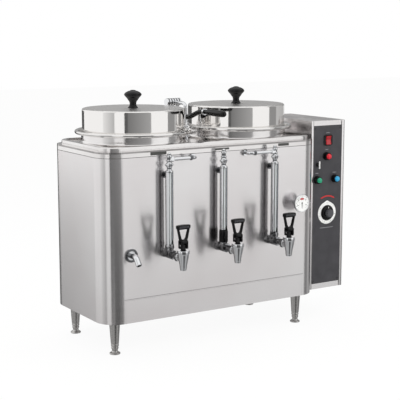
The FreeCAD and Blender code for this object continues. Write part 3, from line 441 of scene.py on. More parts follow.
# Lid knobs: stem as shares of the neck's radius, crown as shares of the head's, each with its height
lidKnob = {"foot": 15.0, "neck": 9.4, "head": 25.0, "height": 51.0, "soft": (1.4, 4), "steps": 72,
           "stem": ((1.25, 4.5), (1.05, 8), (1, 13), (1.12, 18), (1.5, 22.5)),
           "crown": ((0.72, 28.5), (0.9, 33), (0.985, 36.2), (1, 38.6), (0.95, 41), (0.78, 44.8),
                     (0.52, 47.8), (0.36, 48.6), (0.3, 50), (0.14, 50.9))}


def makeLidKnobs():
    k = lidKnob
    outline = [(0, 0), (k["foot"], 0), (k["foot"] * 0.97, 1.2)]
    outline += [(k["neck"] * share, z) for share, z in k["stem"]]
    outline += [(k["head"] * share, z) for share, z in k["crown"]] + [(0, k["height"])]
    for hand in ("left", "right"):
        low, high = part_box(hand + "_lid")
        bm = bmesh.new()
        addLathe(bm, outline, middleOf(low, high, high.z), up, k["steps"], k["soft"])
        keepPiece(hand + "LidKnob", bm, 60, hand + "_cover", phenolic, [hand + "_lid_knob"])


# Jacket lines and bare strips. strips: place, width and height
jacketTrim = {"top": 549.0, "line": 1.3, "proud": 0.08, "radius": 59.0, "wall": 0.6, "corner": 12,
              "strips": ((-195.0, 50.0, 9.0), (11.5, 47.0, 5.5), (226.0, 38.0, 7.5)), "stripZ": 556.3,
              "stripProud": 0.3, "stripThick": 0.8, "beadLow": 560.5, "beadHigh": 565.2,
              "seamZ": 161.0, "seamTall": 0.9, "seamPast": 4.0, "seamProud": 0.1, "seamDeep": 1.0}


def wrapBand(name, low, high, mat):
    t = jacketTrim
    length = (jacketHigh.x - jacketLow.x) / mm + 2 * t["proud"]
    depth = (jacketHigh.y - jacketLow.y) / mm + 2 * t["proud"]
    radius = t["radius"] + t["proud"]
    outer = roundedRing(length, depth, radius, t["corner"])
    inner = roundedRing(length - 2 * t["wall"], depth - 2 * t["wall"], radius - t["wall"], t["corner"])
    bm = bmesh.new()
    loops = [[bm.verts.new(at(x, y, z)) for x, y in ring] for ring, z in
             ((outer, low), (outer, high), (inner, high), (inner, low))]
    for a, b in zip(loops, loops[1:] + loops[:1]):
        for i in range(len(a)):
            j = (i + 1) % len(a)
            bm.faces.new((a[i], a[j], b[j], b[i]))
    keepPiece(name, bm, 30, "urn", mat)


def makeJacketTrim():
    t = jacketTrim
    wrapBand("deckJoint", t["top"] - t["line"] / 2, t["top"] + t["line"] / 2, gapDark)
    # painted shade: a darker steel band just below the deck's bead
    wrapBand("beadShade", t["beadLow"], t["beadHigh"], bandSteel)
    low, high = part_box("access_panel")
    seamLow, seamHigh = t["seamZ"] - t["seamTall"] / 2, t["seamZ"] + t["seamTall"] / 2
    bm = bmesh.new()
    addBox(bm, Vector((low.x, frontY, 0)) + step(-t["seamPast"], -t["seamProud"], seamLow),
           Vector((high.x, frontY, 0)) + step(t["seamPast"], t["seamDeep"], seamHigh))
    keepPiece("accessSeam", bm, 38, "urn", gapDark)
    for i, (x, wide, tall) in enumerate(t["strips"]):
        bm = bmesh.new()
        addPlate(bm, roundedRing(wide, tall, 1.5, 4), at(x, frontFace - t["stripProud"], t["stripZ"]), right,
                 up, t["stripThick"], 0.15)
        keepPiece("bareStrip%d" % (i + 1), bm, 38, "urn", stripInk)


# Gauge columns. Outlines are radius and height, necks are their low and high end and radius
gauge = {"off": 26.0, "top": 506.0, "air": 541.0, "ball": 21.0, "tee": 295.5, "airFitting": 110.0,
         "cap": ((0, 0), (11.0, 0), (11.0, 4.2), (7.4, 6.2), (6.0, 8.5), (6.0, 12.2), (8.0, 14.5),
                 (8.8, 17.5), (8.9, 20.5), (8.2, 24.5), (6.2, 28.2), (5.6, 29.6), (8.0, 30.2), (8.0, 33.6),
                 (5.6, 34.4), (5.6, 40), (7.2, 41), (7.2, 45.5), (5.4, 47), (4.6, 51), (2.6, 53.4), (0, 54)),
         "crossScrew": ((0, 0), (3.6, 0), (3.6, 10.6), (2.4, 12.0), (0, 12.0)),
         "ballScrew": ((0, 0), (4.4, 0), (4.4, 9.6), (2.0, 10.4), (2.0, 9.6), (0, 9.6)),
         "screwHollow": ((0, 0), (2.6, 0), (2.4, 10.9), (0, 11.0)),
         "airEnd": ((0, 0), (7.0, 0), (7.0, 13.5), (5.2, 14.5), (4.7, 14.5)),
         "airNut": ((4.7, 0), (6.6, 0), (6.6, 4.95), (5.4, 6.3), (5.4, 9.0), (4.7, 9.0)),
         "necks": ((8.6, 12.4, 6.5), (27.6, 30.0, 6.6), (34.6, 40.0, 6.0), (46.8, 49.4, 5.9)),
         "neckDeep": 1.2, "packing": 8.0, "sleeve": 31.0}
gaugeY = frontFace - gauge["off"]


def makeGaugeCaps():
    g = gauge
    bm = bmesh.new()
    shade = bmesh.new()  # painted shade in the necks above and below the ball and in the hollow of its screw
    for x in lineX.values():
        base, ball = at(x, gaugeY, g["top"]), at(x, gaugeY, g["top"] + g["ball"])
        addLathe(bm, g["cap"], base, up, 48, (0.8, 3))
        for side in (-1, 1):  # cross screw through the ball
            addLathe(bm, g["crossScrew"], ball, right * side, 24, (0.6, 2))
        addLathe(bm, g["ballScrew"], ball, -back, 24, (0.4, 2))
        for low, high, radius in g["necks"]:
            inside = radius - g["neckDeep"]
            addLathe(shade, [(inside, low), (radius, low + 0.4), (radius, high - 0.4), (inside, high)], base,
                     up, 32, (0.3, 2))
        addLathe(shade, g["screwHollow"], ball, -back, 20, (0.2, 2))
    for hand, side in (("left", 1), ("right", -1)):
        addLathe(bm, g["airEnd"], at(lineX[hand], gaugeY, g["air"]), right * side, 6, (0.6, 2))
    keepPiece("gaugeCaps", bm, 35, "urn", chrome, ["gauge_caps"])
    keepPiece("capShade", shade, 35, "urn", fittingAndShadeSteel)


def makeAirFittings():  # a dark compression nut on each air line, where it leaves the bracket
    for hand, side in (("left", -1), ("right", 1)):
        bm = bmesh.new()
        addLathe(bm, gauge["airNut"], at(side * gauge["airFitting"], gaugeY, gauge["air"]), right * -side, 6,
                 (0.5, 2))
        keepPiece(hand + "AirNuts", bm, 35, "urn", fittingAndShadeSteel)


def makeGaugeFeet():  # packing nuts where the glass enters the tee, a black sleeve on the hot water gauge
    for i, (hand, x) in enumerate(lineX.items()):
        tall, mat = (gauge["sleeve"], phenolic) if hand == "centre" else (gauge["packing"], casting)
        outline = [(11.0, 0), (12.6, 0.6), (12.6, tall), (11.6, tall + 1.4),
                   (11.6, tall + 5), (11.0, tall + 5.2)]
        bm = bmesh.new()
        addLathe(bm, outline, at(x, gaugeY, gauge["tee"]), up, 48, (0.5, 2), 24, 0.3)
        keepPiece("packingNut%d" % (i + 1), bm, 35, "urn", mat)


# Faucets. pin: its radius and length. tongue: width, depth, height and how far it starts below the top
faucet = {"off": 98.0, "top": 303.0, "low": 248.0, "pivot": 316.5, "shank": 281.0, "pin": (2.5, 21.0),
          "tongue": (11.0, 9.0, 19.5, 6.0), "tongueEye": 4.5,
          "body": ((5.6, 22), (5.6, 0), (8.0, 0), (8.6, 0.8), (8.7, 5), (9.5, 6), (10.0, 13), (10.9, 18),
                   (14.6, 36), (15.6, 43.5), (16.2, 45.2), (17.2, 45.8), (17.2, 53.6), (16.4, 55.0),
                   (9.5, 55.0), (8.2, 50.0), (0, 50.0)),
          "coupling": ((0, 0), (10.2, 0), (10.2, 19.5), (11.8, 20.5), (11.8, 23.6), (0, 23.6))}
faucetY = frontFace - faucet["off"]


def rod(radius, length, start=0.0):  # outline of a plain round bar
    return [(0, start), (radius, start), (radius, start + length), (0, start + length)]


def makeFaucetBodies():
    f = faucet
    radius, length = f["pin"]
    wide, deep, tall, below = f["tongue"]
    for hand, x in lineX.items():
        bm = bmesh.new()
        addLathe(bm, f["body"], at(x, faucetY, f["low"]), up, 72, (0.9, 3))
        addLathe(bm, f["coupling"], at(x, faucetY, f["shank"]), back, 48, (0.7, 2))
        addLathe(bm, rod(radius, length), at(x - length / 2, faucetY, f["pivot"]), right, 24, (0.4, 2))
        keepPiece(hand + "FaucetBody", bm, 40, "urn", chrome, [hand + "_faucet"])
        bm = bmesh.new()  # dark tongue that carries the handle's pin
        low = at(x - wide / 2, faucetY - deep / 2, f["top"] - below)
        addBox(bm, low, low + step(wide, deep, tall), 0.6, 2)
        addLathe(bm, rod(f["tongueEye"], wide), at(x - wide / 2, faucetY, f["pivot"]), right, 32)
        keepPiece(hand + "Tongue", bm, 40, "urn", phenolic)


# Faucet handles. cheek: half depth, foot, and a corner's half depth and foot, from the pin
handle = {"hubWide": 21.0, "top": 373.0, "wide": 40.5, "bar": 11.5, "barDeep": 13.0, "webDeep": 8.5,
          "gap": 11.6, "windowTop": 27.0, "windowLow": 16.0, "windowFoot": 332.5,
          "cheek": (9.4, -7.0, 7.6, -8.9), "cheekTop": 328.0, "pinHole": 2.55, "skirt": (322.0, 330.5),
          "webFoot": (10.4, 327.0), "webWaist": (13.4, 337.0), "barParts": 7, "barCrown": 0.16,
          "barEndDrop": 0.9, "barEndLift": 0.6, "barLap": 0.4, "ribs": 9, "ribPitch": 3.4, "ribWide": 1.4,
          "ribProud": 0.5, "ribDeep": 1.6, "ribDown": (9.4, 3.2)}


def addCheeks(bm, x):  # flat cheeks, one each side of the tongue, and the square skirt over them
    h = handle
    pivot, hub = faucet["pivot"], h["hubWide"] / 2
    deep, foot, cornerDeep, cornerFoot = h["cheek"]
    top = h["cheekTop"] - pivot
    thick = hub - h["gap"] / 2
    ring = [(-deep, top), (-deep, foot), (-cornerDeep, cornerFoot), (cornerDeep, cornerFoot), (deep, foot),
            (deep, top)]
    for side in (-1, 1):
        addPlate(bm, ring, at(x + side * (hub - thick / 2), faucetY, pivot), back, up, thick, 0.8,
                 [circle(h["pinHole"], 24)])
    skirtLow, skirtHigh = h["skirt"]
    addBox(bm, at(x - hub, faucetY - deep, skirtLow), at(x + hub, faucetY + deep, skirtHigh), 1.4)


def addWeb(bm, x):  # web with its teardrop window
    h = handle
    barLow = h["top"] - h["bar"]
    shoulder, shoulderZ = h["wide"] / 2 - 1.0, barLow + 3
    (foot, footZ), (waist, waistZ) = h["webFoot"], h["webWaist"]
    outer = [(-foot, footZ), (foot, footZ), (waist, waistZ), (shoulder, shoulderZ), (-shoulder, shoulderZ),
             (-waist, waistZ)]
    wt, wl = h["windowTop"] / 2, h["windowLow"] / 2
    window = arcPoints(wl, 195, 345, 12, 0, h["windowFoot"] + wl)
    window += [(wt, barLow - 1.5), (wt - 2, barLow + 0.2), (-wt + 2, barLow + 0.2), (-wt, barLow - 1.5)]
    addPlate(bm, outer, at(x, faucetY, 0), right, up, h["webDeep"], 1.6, [window])


def addBar(bm, x):  # thick rounded top bar, a little crowned
    h = handle
    wide, middle = h["wide"] / h["barParts"], (h["barParts"] - 1) / 2
    for i in range(h["barParts"]):
        t = (i - middle) / middle
        deep = h["barDeep"] / 2 * (1.0 - h["barCrown"] * t * t)
        cx = x + t * (h["wide"] - wide) / 2
        half = wide / 2 + h["barLap"]
        addBox(bm, at(cx - half, faucetY - deep, h["top"] - h["bar"] + h["barEndLift"] * abs(t)),
               at(cx + half, faucetY + deep, h["top"] - h["barEndDrop"] * t * t), 2.2 if abs(t) == 1 else 1.2)


def makeFaucetHandles():
    h = handle
    ribLow, ribHigh = h["top"] - h["ribDown"][0], h["top"] - h["ribDown"][1]
    for hand, x in lineX.items():
        bm = bmesh.new()
        addCheeks(bm, x)
        addWeb(bm, x)
        addBar(bm, x)
        keepPiece(hand + "FaucetGrip", bm, 50, hand + "_handle", phenolic,
                  [hand + "_faucet_handle"])
        bm = bmesh.new()  # grip ribs along the bar's front
        for i in range(h["ribs"]):
            cx = x + (i - (h["ribs"] - 1) / 2) * h["ribPitch"]
            face = faucetY - h["barDeep"] / 2
            addBox(bm, at(cx - h["ribWide"] / 2, face - h["ribProud"], ribLow),
                   at(cx + h["ribWide"] / 2, face + h["ribDeep"], ribHigh), 0.3, 2)
        keepPiece(hand + "GripRibs", bm, 50, hand + "_handle", knobGrey)


# Thermometer. numbers: text and the angle it stands at
dial = {"x": 273.5, "z": 382.5, "radius": 26.5, "off": 32.0, "deep": 11.0, "face": 24.9, "card": 1.25,
        "cardThick": 0.6, "scale": {"count": 24, "start": 225, "sweep": 270, "every": 4, "long": (3.6, 2.0),
                                    "wide": (0.5, 0.3)}, "scaleIn": 2.2,
        "zone": (10.5, 15.5, 118, 62), "numberRadius": 15.81, "numberSize": 4.0,
        "pointer": ((-0.9, 3.5), (0.9, 3.5), (1.1, -4), (0.45, -15.5), (-0.45, -15.5), (-1.1, -4)),
        "numbers": (("100", 200), ("150", 145), ("180", 90), ("200", 35), ("220", -20))}


def ringText(text, where, size, mat, name):  # plain numbers as flat raised print
    curve = bpy.data.curves.new(name, "FONT")
    curve.body = text
    curve.size = size * mm
    curve.align_x = "CENTER"
    curve.align_y = "CENTER"
    curve.extrude = 0.05 * mm
    mesh = takeMesh(name + "Text", curve)
    mesh.transform(Matrix.Translation(where) @ Matrix((right, up, -back)).transposed().to_4x4())
    bm = bmesh.new()
    bm.from_mesh(mesh)
    bpy.data.meshes.remove(mesh)
    keepPiece(name, bm, 38, "urn", mat)


def makeThermometer():
    d = dial
    y = frontFace - d["off"]
    centre, face = at(d["x"], y, d["z"]), at(d["x"], y + 1.2, d["z"])
    edge, rim = d["face"], d["radius"]
    bm = bmesh.new()
    outline = [(0, 1.9), (edge + 0.6, 1.9), (edge + 0.6, 0.9), (edge + 1.2, 0), (rim - 0.6, 0), (rim, 0.8),
               (rim, 7), (rim - 1.5, 9.6), (18, d["deep"]), (8.5, 12), (8.5, 17), (6.4, 18), (6.4, 26.5),
               (9.4, 27), (9.4, 32), (0, 32)]
    addLathe(bm, outline, centre, back, 72, (0.6, 3))
    keepPiece("thermometerCase", bm, 40, "urn", chrome, ["thermometer_case"])
    bm = bmesh.new()
    addLathe(bm, rod(edge, d["cardThick"]), at(d["x"], y + d["card"], d["z"]), back, 64)
    keepPiece("thermometerCard", bm, 38, "urn", dialCard, ["thermometer_dial"])
    makeScale("thermometerScale", face - back * 0.06 * mm, edge - d["scaleIn"], d["scale"])
    inner, outer, start, end = d["zone"]
    bm = bmesh.new()
    addPlate(bm, arcPoints(outer, start, end, 16) + arcPoints(inner, end, start, 16), face - back * 0.1 * mm,
             right, up, 0.1)
    keepPiece("hotZone", bm, 38, "urn", redInk)
    bm = bmesh.new()
    addPlate(bm, d["pointer"], face - back * 0.35 * mm, right, up, 0.25)
    addLathe(bm, ((0, 0), (2.3, 0), (2.0, 0.7), (0, 0.8)), face, -back, 24, (0.2, 2))
    keepPiece("dialPointer", bm, 38, "urn", blackInk)
    for text, deg in d["numbers"]:
        where = step(math.cos(math.radians(deg)), 0, math.sin(math.radians(deg))) * d["numberRadius"]
        ringText(text, face + where - back * 0.08 * mm, d["numberSize"], blackInk, "dialNumber" + text)
    bm = bmesh.new()
    lens = ((0, -0.1), (12, 0.1), (edge + 0.4, 0.5), (edge + 0.4, 0.9), (0, 0.4))
    addLathe(bm, lens, centre, back, 64, (0.3, 2))
    keepPiece("thermometerLens", bm, 60, "urn", dialLens)


# Control panel: places in mm from the box's left side and the floor
panelLow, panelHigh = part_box("control_panel")
boxLow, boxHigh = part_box("control_box")
panelFace = panelLow.y


def onPanel(x, z, proud=0.0):
    return Vector((boxLow.x + x * mm, panelFace - proud * mm, z * mm))


button = {"places": {"red": (57.0, 506.0), "green": (22.5, 435.0), "blue": (90.5, 435.0)},
          "cap": ((0, -5.4), (6.0, -5.4), (6.0, 4.1), (8.4, 4.1), (8.4, 15.6), (8.1, 16.9), (6.9, 18.6),
                  (4.4, 19.9), (1.8, 20.3), (0, 20.4)),
          "bezel": ((8.7, 0), (12.6, 0), (12.6, 2.2), (11.4, 2.8), (11.4, 13.2), (10.8, 14.0), (9.0, 14.0),
                    (8.7, 13.4), (8.7, 0)), "knurls": 32, "knurlDeep": 0.5}


def makeButtons():
    b = button
    for name, mat in (("red", redLamp), ("green", greenLamp), ("blue", blueLamp)):
        spot = onPanel(*b["places"][name])
        bm = bmesh.new()
        addLathe(bm, b["cap"], spot, -back, 48, (0.9, 3))
        keepPiece(name + "Cap", bm, 50, name + "_start", mat, [name + "_button"])
        bm = bmesh.new()  # knurled bezel round the barrel
        addLathe(bm, b["bezel"], spot, -back, 96, (0.4, 2), b["knurls"], b["knurlDeep"])
        keepPiece(name + "Bezel", bm, 45, "urn", phenolic)


# cap: its side view, upward and out from the panel
rocker = {"place": (63.0, 554.5), "bezel": (25.5, 33.0, 2.6), "opening": (18.4, 27.4, 1.4), "bezelThick": 2.6,
          "cap": ((12.9, 0.4), (12.9, 6.2), (9.0, 5.0), (4.0, 4.1), (0, 3.8), (-4.0, 4.1), (-9.0, 5.0),
                  (-12.9, 6.2), (-12.9, 0.4), (-8.0, -1.6), (8.0, -1.6)), "capWide": 17.4,
          "ribs": 5, "ribPitch": 1.5, "ribFoot": 3.6, "ribTall": 0.7, "ribWide": 13.0, "ribOut": (5.4, 3.6)}


def makeRocker():
    r = rocker
    x, z = r["place"]
    bm = bmesh.new()
    addPlate(bm, roundedRing(*r["bezel"], 5), onPanel(x, z, r["bezelThick"] / 2), right, up, r["bezelThick"],
             0.6, [roundedRing(*r["opening"], 4)])
    keepPiece("rockerBezel", bm, 45, "urn", phenolic)
    bm = bmesh.new()
    addPlate(bm, r["cap"], onPanel(x, z), up, -back, r["capWide"], 0.5)
    for i in range(r["ribs"]):  # grip ribs on the upper half
        foot = z + r["ribFoot"] + i * r["ribPitch"]
        addBox(bm, onPanel(x - r["ribWide"] / 2, foot, r["ribOut"][0]),
               onPanel(x + r["ribWide"] / 2, foot + r["ribTall"], r["ribOut"][1]), 0.15, 2)
    keepPiece("rockerCap", bm, 45, "rocker", rockerRed, ["power_rocker"])


toggle = {"place": (25.5, 481.0), "stem": ((0, -4), (2.2, -4), (1.4, -1), (1.3, 8), (0, 8)),
          "paddle": (3.4, 23.0), "paddleOut": (11.0, 6.8),
          "nut": ((3.2, 0), (6.6, 0), (6.6, 1.8), (5.4, 2.2), (5.4, 3.8), (3.2, 3.8), (3.2, 0))}


def makeToggle():
    t = toggle
    x, z = t["place"]
    wide, tall = t["paddle"]
    bm = bmesh.new()
    addLathe(bm, t["stem"], onPanel(x, z), -back, 32, (0.4, 3))
    addBox(bm, onPanel(x - wide / 2, z - tall / 2, t["paddleOut"][0]),
           onPanel(x + wide / 2, z + tall / 2, t["paddleOut"][1]), 1.2)
    keepPiece("toggleLever", bm, 60, "toggle", whiteInk, ["mode_toggle"])
    bm = bmesh.new()
    addLathe(bm, t["nut"], onPanel(x, z), -back, 6, (0.4, 2))
    keepPiece("toggleNut", bm, 30, "urn", phenolic)


# arc: radii, then its ends outside and inside, then its centre's shift from the dial
timer = {"place": (64.0, 330.0), "plate": 34.5, "plateTip": 4.0, "plateHole": 4.0, "plateThick": 0.5,
         "scale": {"count": 30, "start": 90, "sweep": 300, "every": 5, "long": (5.0, 3.0),
                   "wide": (0.45, 0.28)},
         "scaleIn": 1.4, "scaleOut": 0.56, "skirt": 24.0, "shaft": (3.0, 16.0),
         "grip": ((0, 8.0), (13.6, 8.0), (12.6, 18.8), (11.4, 19.6), (0, 19.6)), "flutes": 12,
         "fluteDeep": 1.6, "pointer": (1.4, 14.5, 19.0), "pointerOut": (9.0, 8.0),
         "arc": (51.2, 47.2, (122, 58), (58, 118), (1, 3))}


def makeTimer():
    t = timer
    x, z = t["place"]
    spot = onPanel(x, z)
    bm = bmesh.new()  # printed plate ring with a pointed top
    outer = [(0, t["plate"] + t["plateTip"])] + arcPoints(t["plate"], 70, -250, 48)
    addPlate(bm, outer, onPanel(x, z, t["plateThick"] / 2), right, up, t["plateThick"], 0.1,
             [circle(t["plateHole"], 16)])
    keepPiece("timerPlate", bm, 38, "urn", whiteInk)
    makeScale("timerScale", onPanel(x, z, t["scaleOut"]), t["plate"] - t["scaleIn"], t["scale"])
    bm = bmesh.new()  # skirted knob on its shaft
    outline = [(0, 1.0), (t["skirt"], 1.0), (t["skirt"], 2.6), (t["skirt"] - 1.2, 4.4), (21.0, 5.4),
               (20.4, 7.2), (19.6, 8.2), (0, 8.2)]
    addLathe(bm, outline, spot, -back, 96, (0.7, 3))
    addLathe(bm, rod(*t["shaft"]), spot, back, 24)
    keepPiece("timerKnobCap", bm, 45, "timer", phenolic, ["timer_knob"])
    bm = bmesh.new()  # fluted grip standing on the skirt
    addLathe(bm, t["grip"], spot, -back, 96, (0.8, 3), t["flutes"], t["fluteDeep"])
    keepPiece("timerGrip", bm, 45, "timer", knobGrey)
    wide, low, high = t["pointer"]
    bm = bmesh.new()
    addBox(bm, onPanel(x - wide / 2, z + low, t["pointerOut"][0]),
           onPanel(x + wide / 2, z + high, t["pointerOut"][1]), 0.1, 1)
    keepPiece("knobPointer", bm, 38, "timer", whiteInk)
    outside, inside, outsideEnds, insideEnds, (dx, dz) = t["arc"]
    bm = bmesh.new()  # red arc above the dial
    addPlate(bm, arcPoints(outside, *outsideEnds, 24) + arcPoints(inside, *insideEnds, 24),
             onPanel(x + dx, z + dz, 0.1), right, up, 0.2)
    keepPiece("redArc", bm, 38, "urn", redInk)


# dashes: place and width. lips: how far each covers the overlay, out from it and back, and short of the box
panelPrint = {"inset": 3.0, "line": 0.6, "corner": 4.0,
              "dashes": ((63, 577, 13), (60, 526, 10), (22.5, 455, 11), (90.5, 454, 14), (63, 284, 50)),
              "dashTall": 1.4, "dashProud": 0.15, "lipLeft": 2.2, "lipRight": 3.6, "lipProud": 0.9,
              "lipDeep": 0.5, "lipShort": 0.5}


def makePanelPrint():  # plain dashes by the switches and a fine border
    p = panelPrint
    wide = (panelHigh.x - panelLow.x) / mm - 2 * p["inset"]
    tall = (panelHigh.z - panelLow.z) / mm - 2 * p["inset"]
    line = p["line"]
    centre = middleOf(panelLow, panelHigh, (panelLow.z + panelHigh.z) / 2)
    centre.y = panelFace - 0.05 * mm
    bm = bmesh.new()
    addPlate(bm, roundedRing(wide, tall, p["corner"], 5), centre, right, up, 0.1, 0.0,
             [roundedRing(wide - 2 * line, tall - 2 * line, p["corner"] - line, 5)])
    keepPiece("panelBorder", bm, 38, "urn", stripInk)
    bm = bmesh.new()
    for x, z, w in p["dashes"]:
        addBox(bm, onPanel(x - w / 2, z - p["dashTall"] / 2, p["dashProud"]),
               onPanel(x + w / 2, z + p["dashTall"] / 2))
    keepPiece("panelDashes", bm, 38, "urn", dimInk)
    bm = bmesh.new()  # folded lips of the box down both sides of the overlay
    leftLip, rightLip = panelLow.x + p["lipLeft"] * mm, panelHigh.x - p["lipRight"] * mm
    for low, high in ((boxLow.x, leftLip), (rightLip, boxHigh.x)):
        addBox(bm, Vector((low, panelFace, boxLow.z)) + step(0, -p["lipProud"], p["lipShort"]),
               Vector((high, panelFace, boxHigh.z)) + step(0, p["lipDeep"], -p["lipShort"]), 0.3, 2)
    keepPiece("boxLips", bm, 38, "urn", jacketSteel)


# Screws. slot: half its length and half its width
screw = {"head": ((0, 0), (4.0, 0), (3.9, 0.9), (3.0, 1.9), (1.5, 2.2), (0, 2.2)), "tall": 2.2,
         "slot": (2.2, 0.4), "slotDeep": 0.08, "panelInset": 8.0, "coverInset": 6.0}


def makeScrews():  # pan-head screws with a cross slot, over the plain ones
    s = screw
    edge = s["panelInset"] * mm
    panelSpots = [(Vector((x, panelFace, z)), -back) for x in (panelLow.x + edge, panelHigh.x - edge)
                  for z in (panelLow.z + edge, panelHigh.z - edge)]
    edge = s["coverInset"] * mm
    low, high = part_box("rear_cover")
    coverSpots = [(Vector((x, high.y, z)), back) for x in (low.x + edge, (low.x + high.x) / 2, high.x - edge)
                  for z in (low.z + edge, high.z - edge)]
    coverHeads, panelHeads, slots = bmesh.new(), bmesh.new(), bmesh.new()
    for heads, spots in ((panelHeads, panelSpots), (coverHeads, coverSpots)):
        for spot, axis in spots:
            addLathe(heads, s["head"], spot, axis, 32, (0.4, 3))
            centre = spot + axis * s["tall"] * mm
            # dark cross slots: painted shade in the recess
            for dx, dz in (s["slot"], s["slot"][::-1]):
                half = step(dx, s["slotDeep"], dz)
                addBox(slots, centre - half, centre + half)
    keepPiece("coverScrewHeads", coverHeads, 50, "urn", chrome, ["cover_screws"])
    keepPiece("panelScrewHeads", panelHeads, 50, "urn", panelFilm)
    keepPiece("screwSlots", slots, 38, "urn", gapDark)


# Legs and their adjustable feet
leg = {"names": ("front_left", "front_right", "rear_left", "rear_right"),
       "turned": ((0, 22), (9.6, 22), (11.0, 23.2), (11.0, 27.5), (10.4, 28.3), (10.4, 29.3), (11.2, 30.2),
                  (14.8, 84), (15.2, 89.4), (18.6, 90.6), (19.0, 94), (0, 94)),
       "foot": ((0, 0), (14.2, 0), (15.0, 0.9), (15.0, 3.2), (13.6, 4.4), (9.6, 6.4), (8.2, 9), (8.2, 12.2),
                (9.6, 15), (10.2, 17), (10.2, 19.6), (8.4, 20.6), (8.4, 22), (0, 22))}


def makeLegs():
    feet = bmesh.new()
    for name in leg["names"]:
        centre = middleOf(*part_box("leg_" + name))
        bm = bmesh.new()
        addLathe(bm, leg["turned"], centre, up, 56, (0.9, 3))
        keepPiece("leg_" + name + "Turned", bm, 40, "urn", legSteel, ["leg_" + name])
        addLathe(feet, leg["foot"], centre, up, 48, (0.8, 3))
    keepPiece("legFeetTurned", feet, 40, "urn", legSteel, ["leg_feet"])


# Drain collar and the spray head's knurls. back and down: from the box's edges to the axis
drain = {"collar": ((12.5, 0), (18.8, 0), (18.8, 1.6), (16.8, 2.4), (13.4, 2.4), (12.5, 1.8), (12.5, 0)),
         "off": 2.6, "down": 19.0}
sprayHead = {"knurl": ((10.2, 0), (11.3, 0.6), (11.3, 3.6), (10.2, 4.2)), "rings": 5, "first": 4.0,
             "pitch": 9.0, "back": 11.0, "down": 11.0, "ribs": 20, "ribDeep": 0.5}


def makeDarkRings():
    low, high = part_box("drain_spout")
    spot = middleOf(low, high, high.z - drain["down"] * mm)
    spot.y = frontY - drain["off"] * mm
    bm = bmesh.new()
    addLathe(bm, drain["collar"], spot, -back, 48, (0.5, 2))
    keepPiece("drainCollar", bm, 40, "urn", fittingAndShadeSteel)
    h = sprayHead
    low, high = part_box("spray_arm")
    bm = bmesh.new()
    for i in range(h["rings"]):
        spot = Vector((low.x, high.y, high.z)) + step(h["first"] + i * h["pitch"], -h["back"], -h["down"])
        addLathe(bm, h["knurl"], spot, right, 40, (0.4, 2), h["ribs"], h["ribDeep"])
    keepPiece("sprayKnurl", bm, 40, "spray", fittingAndShadeSteel)


# Spray arm grip. lever: steps of its route, from the back end and then from the grip's start
sprayGrip = {"long": 88.0, "axisDown": 9.5, "leverUp": 5.0, "leverRadius": 7.0,
             "moulding": ((0, -4), (6.6, -4), (7.6, -2), (7.8, 0), (8.0, 2), (8.6, 8), (9.4, 30), (9.5, 60),
                          (9.3, 76), (8.6, 82), (6.4, 86.2), (3.0, 87.8), (0, 88)),
             "leverBack": ((0, 0, 0), (0, -10, 0), (0, -22, 4)),
             "leverFront": ((0, 52, -3), (0, 34, 0), (0, 0, 0)),
             "ferrule": ((7.1, 0), (9.4, 0), (9.4, 8), (8.4, 9.5), (7.1, 9.5), (7.1, 0)), "ferruleFrom": 13.0}


def makeSprayGrip():
    g = sprayGrip
    low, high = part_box("spray_grip")
    start = middleOf(low, high, high.z - g["axisDown"] * mm)
    start.y = low.y + g["long"] * mm
    backEnd = Vector((start.x, high.y, low.z + g["leverUp"] * mm))
    bm = bmesh.new()
    addLathe(bm, g["moulding"], start, -back, 48, (1.5, 4))
    curve = bpy.data.curves.new("sprayLeverCurve", "CURVE")
    curve.dimensions = "3D"
    curve.bevel_depth = g["leverRadius"] * mm
    curve.bevel_resolution = 6
    curve.resolution_u = 12
    spline = curve.splines.new("NURBS")
    route = [backEnd + step(*p) for p in g["leverBack"]] + [start + step(*p) for p in g["leverFront"]]
    spline.points.add(len(route) - 1)
    for point, p in zip(spline.points, route):
        point.co = (*p, 1)
    spline.order_u = 4
    spline.use_endpoint_u = True
    curve.use_fill_caps = True
    bm.from_mesh(takeMesh("sprayLeverCurve", curve))
    keepPiece("sprayGripMoulding", bm, 50, "spray", phenolic, ["spray_grip"])
    bm = bmesh.new()
    addLathe(bm, g["ferrule"], start + step(0, g["ferruleFrom"], 0), back, 40, (0.6, 3))
    keepPiece("sprayGripFerrule", bm, 40, "spray", chrome)


makeLidKnobs()
makeJacketTrim()
makeGaugeCaps()
makeAirFittings()
makeGaugeFeet()
makeFaucetBodies()
makeFaucetHandles()
makeThermometer()
makeButtons()
makeRocker()
makeToggle()
makeTimer()
makePanelPrint()
makeScrews()
makeLegs()
makeDarkRings()
makeSprayGrip()

# Studio: pale floor, soft lamps and grey cards that only the metal sees
# each card: azimuth from, to, foot and top height (m), grey at either end
studio = {"floor": "FAFAF8", "floorSize": 12.0, "floorGlow": 0.93, "worldSoft": 0.72,
          "fall": (-0.14, -0.26, 1.0, 0.44), "cardRadius": 3.2, "cardColumns": 12,
          "cardLevels": (-0.75, 0.15), "cardFade": (0.15, 0.5, 0.55),
          "cards": ((116, 127, -1.8, 0.07, 0.34, 0.95), (96, 116, -1.8, 0.07, 0.34, 0.34),
                    (172, 198, -1.8, 3.4, 0.85, 0.5), (219, 226, -0.85, 3.4, 0.1, 0.12),
                    (226, 277, 0.09, 3.4, 0.2, 0.4), (226, 282, -0.85, 0.09, 0.11, 0.14),
                    (238, 262, -2.6, -0.85, 0.2, 0.1), (262, 284, -2.6, -0.85, 0.3, 0.5),
                    (322, 346, -1.8, 3.4, 0.3, 0.3), (346, 392, -1.8, 3.4, 0.55, 0.45),
                    (40, 105, -0.85, 0.62, 0.1, 0.1), (20, 99, 0.62, 3.4, 0.3, 0.42))}
